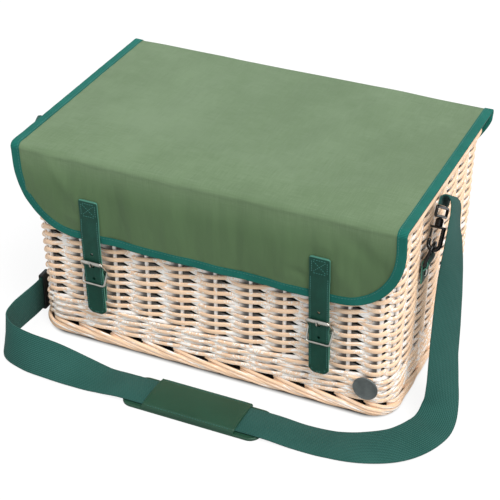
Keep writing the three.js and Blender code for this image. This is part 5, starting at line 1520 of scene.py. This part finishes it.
# %% Sew the cover down
pad_sewing = Surfaces()
seam_x = np.linspace(-COVER_LONG + 3, COVER_LONG - 3, 80) + PAD_X
for row in (-SEAM_Y, SEAM_Y):
    line = points(seam_x, row + PAD_Y, np.interp(row, cover_y, crown) - SUNK)
    stitches(pad_sewing, line, (0, 0, 1.0), 3.0, 2.2, 0.26)
pad_stitches = pad_sewing.piece("pad_cover_stitches", thread_green, "webbing", body="basket")

# %% The badge: a plain disc with a rolled edge
badge_metal = metal_finish("badge_metal", (0.12, 0.135, 0.135), 0.42, Metallic=0.5)
badge_low, badge_high = node_box("badge")
badge_start = (badge_low + badge_high) / 2
badge_start[1] = badge_low[1]
badge_thick = float(badge_high[1] - badge_low[1])
badge_rings = [
    (0.7, 0.05), (0.62, 6.0), (0.6, 11.0), (0.42, 11.9), (0.06, 12.6), (0.1, 13.1), (0.5, 13.45),
    (1.4, 13.5), (1.9, 13.2), (2.0, 12.4), (2.0, 1.4), (badge_thick, 1.4), (badge_thick, 0.05),
]
disc = turned(Surfaces(), badge_start, (0, 1.0, 0), badge_rings, 48)
disc.piece("plain_round_badge", badge_metal, "badge_metal", ["badge"])

# %% [markdown]
# ## Inside
# A cotton lining hangs in the basket as a tub, sewn at the mouth under a hem, and a second lining
# covers the board in the lid. Cloth that hangs from a seam falls in shallow folds, deepest
# midway down, so the walls of the tub wave a little inwards.

# %% The lining's measures and its cloth
LINING_OUT, LINING_THICK = 10.45, 1.2
LINING_LOW, LINING_HIGH = 24.6, 228.9
HEM_LOW, HEM_FRONT, HEM_BACK = 203.3, 13.25, 12.15
HEM_SEAM_IN, HEM_SEAM_Z = 13.3, 207.0
LID_LINING_Z = 232.05


def lining_cloth(name, deep, pale):
    """Cotton: a plain weave and uneven dye."""
    f = Finish(name, deep, 0.85, Sheen_Weight=0.2, Specular_IOR_Level=0.2)
    threads = plain_weave(*f.run(), CANVAS_THREAD)
    colour = f.blend(f.between(threads * 0.4 + f.noise(14, 3) * 0.7, 0.2, 0.95), deep, pale)
    return f.feed(Base_Color=colour, Normal=f.bump(threads, 0.0002, 0.5))


dark_lining = lining_cloth("dark_lining", (0.030, 0.040, 0.035), (0.055, 0.070, 0.062))
loop_t = np.linspace(0, 8, 481)
loop_at = run_length(wall_loop(loop_t, 10, 120.0)[0])


def tub_layer(levels, off, wave):
    """Rings of the tub at the given heights, `off` in from the wicker's outline. They wave by
    wave sin(pi share), where share runs from 0 at 40 mm to 1 at 205 mm."""
    ripple = (np.sin(loop_at[:-1] / 13 + 0.8 * np.sin(loop_at[:-1] / 41)) + 1) * 0.5
    folds = wave * np.sin(np.pi * ramp(levels, 40, 165))
    return [wall_loop(loop_t[:-1], off + fold * ripple, z)[0] for z, fold in zip(levels, folds)]


def tub_floor(ring, z):
    """Smaller and smaller rings of the tub's floor."""
    return [ring * (share, share, 0) + (0, 0, z) for share in (0.985, 0.9, 0.75, 0.5, 0.25)]


# %% Sew the tub
tub_levels = np.linspace(LINING_LOW + 0.8, LINING_HIGH, 30)
outside = tub_layer(tub_levels, LINING_OUT, 1.0)
inside = tub_layer(tub_levels, LINING_OUT + LINING_THICK, 1.0)
inside[0][:, 2] = LINING_LOW + LINING_THICK + 0.4
floor_below, floor_above = tub_floor(outside[0], LINING_LOW), tub_floor(inside[0], LINING_LOW + LINING_THICK)
skin = np.stack(floor_below[::-1] + outside + inside[::-1] + floor_above)
tub = Surfaces().add(skin[None], run_length(skin[:, 0]), loop_at, (False, True), caps=True)
lining_piece = tub.piece("cotton_lining", dark_lining, "cloth_lining", ["lining"])

# %% Sew the hem round the mouth
hem_levels = np.linspace(HEM_LOW, LINING_HIGH, 9)
hem_skin = np.stack(tub_layer(hem_levels, HEM_BACK, 0) + tub_layer(hem_levels, HEM_FRONT, 0)[::-1])
band = Surfaces().add(hem_skin[None], np.arange(len(hem_skin) + 1) * 3.0, loop_at, (True, True))
hem_piece = band.piece("lining_mouth_hem", dark_lining, "cloth_lining", ["lining_hem"])
seam_line, seam_out = wall_loop(np.linspace(0, 8, 700), HEM_SEAM_IN, HEM_SEAM_Z)
hem_seam = stitches(Surfaces(), seam_line, -seam_out, 4.0, 2.9, 0.28)
hem_stitches = hem_seam.piece("hem_stitches", thread_green, "cloth_lining")

# %% Line the lid, and lay in its board
lid_x = np.linspace(-CANVAS_HALF + 0.2, CANVAS_HALF - 0.2, 90)
lid_y = np.linspace(133.8, -133.8, 60)


def lid_lining_point(x, y):
    """The lid's lining under its board, a little slack between the side tapes."""
    slack = (1 - (x / CANVAS_HALF) ** 8) * (1 - (y / LID_REAR) ** 8)
    at = points(x, y, LID_LINING_Z - slack * (0.28 + 0.1 * np.sin(x / 23 + np.sin(y / 31))))
    return at, np.broadcast_to((0, 0, 1.0), at.shape)


lid_layer = cloth(lid_x, np.repeat(lid_y[:, None], len(lid_x), 1), 0.6, lid_lining_point)
lid_lining_piece = lid_layer.piece("lid_cotton_lining", dark_lining, "cloth_lining", ["lid_lining"], "lid")

board_finish = Finish("pressed_board", (0.25, 0.19, 0.12), 0.75)
board_fibres = board_finish.noise(420, 4, stretch=(0.3, 1.0, 1.0))
pressed_board = board_finish.feed(
    Base_Color=board_finish.blend(board_fibres, (0.21, 0.155, 0.095), (0.31, 0.24, 0.16)),
    Normal=board_finish.bump(board_fibres, 0.0003, 0.5),
)
board_path = points(0, 0, (232.75, 233.0, 234.6, 234.85))
board_edge = rounded(213.5, 133.8, 3.0, 12, 8) * np.array([0.9988, 1, 1, 0.9988])[:, None, None]
board = sweep(Surfaces(), board_path, board_edge, (1.0, 0, 0))
board.piece("stiffening_board", pressed_board, "lid_board", ["lid_board"], "lid")

# %% [markdown]
# ## The flat sizes of the cloth
# A program that bends cloth needs its flat size. The sizes come from the same formulas as the
# shapes: the canvas' area leaves out its round corners, and the lining's the four squares that a
# cross of cloth doesn't have.

CORNER_LOSS = 0.86 * 0.0155**2  # m2 that the lining's round corners save
drop_half = drop_point(CANVAS_HALF, drop_run)[0][:, 0]
drop_area = float(np.trapz(2 * drop_half, drop_run)) * MM**2
around, wall_high = float(loop_at[-1]) * MM, (LINING_HIGH - LINING_LOW) * MM
floor_x, floor_y = (float(v) for v in np.ptp(inside[0], axis=0)[:2] * MM)
tub_area = around * wall_high + floor_x * floor_y - CORNER_LOSS
areas = [round(float(area), 4) for area in (canvas_area, drop_area, tub_area)]
print("area of the canvas, the drop and the lining, m2:", areas)
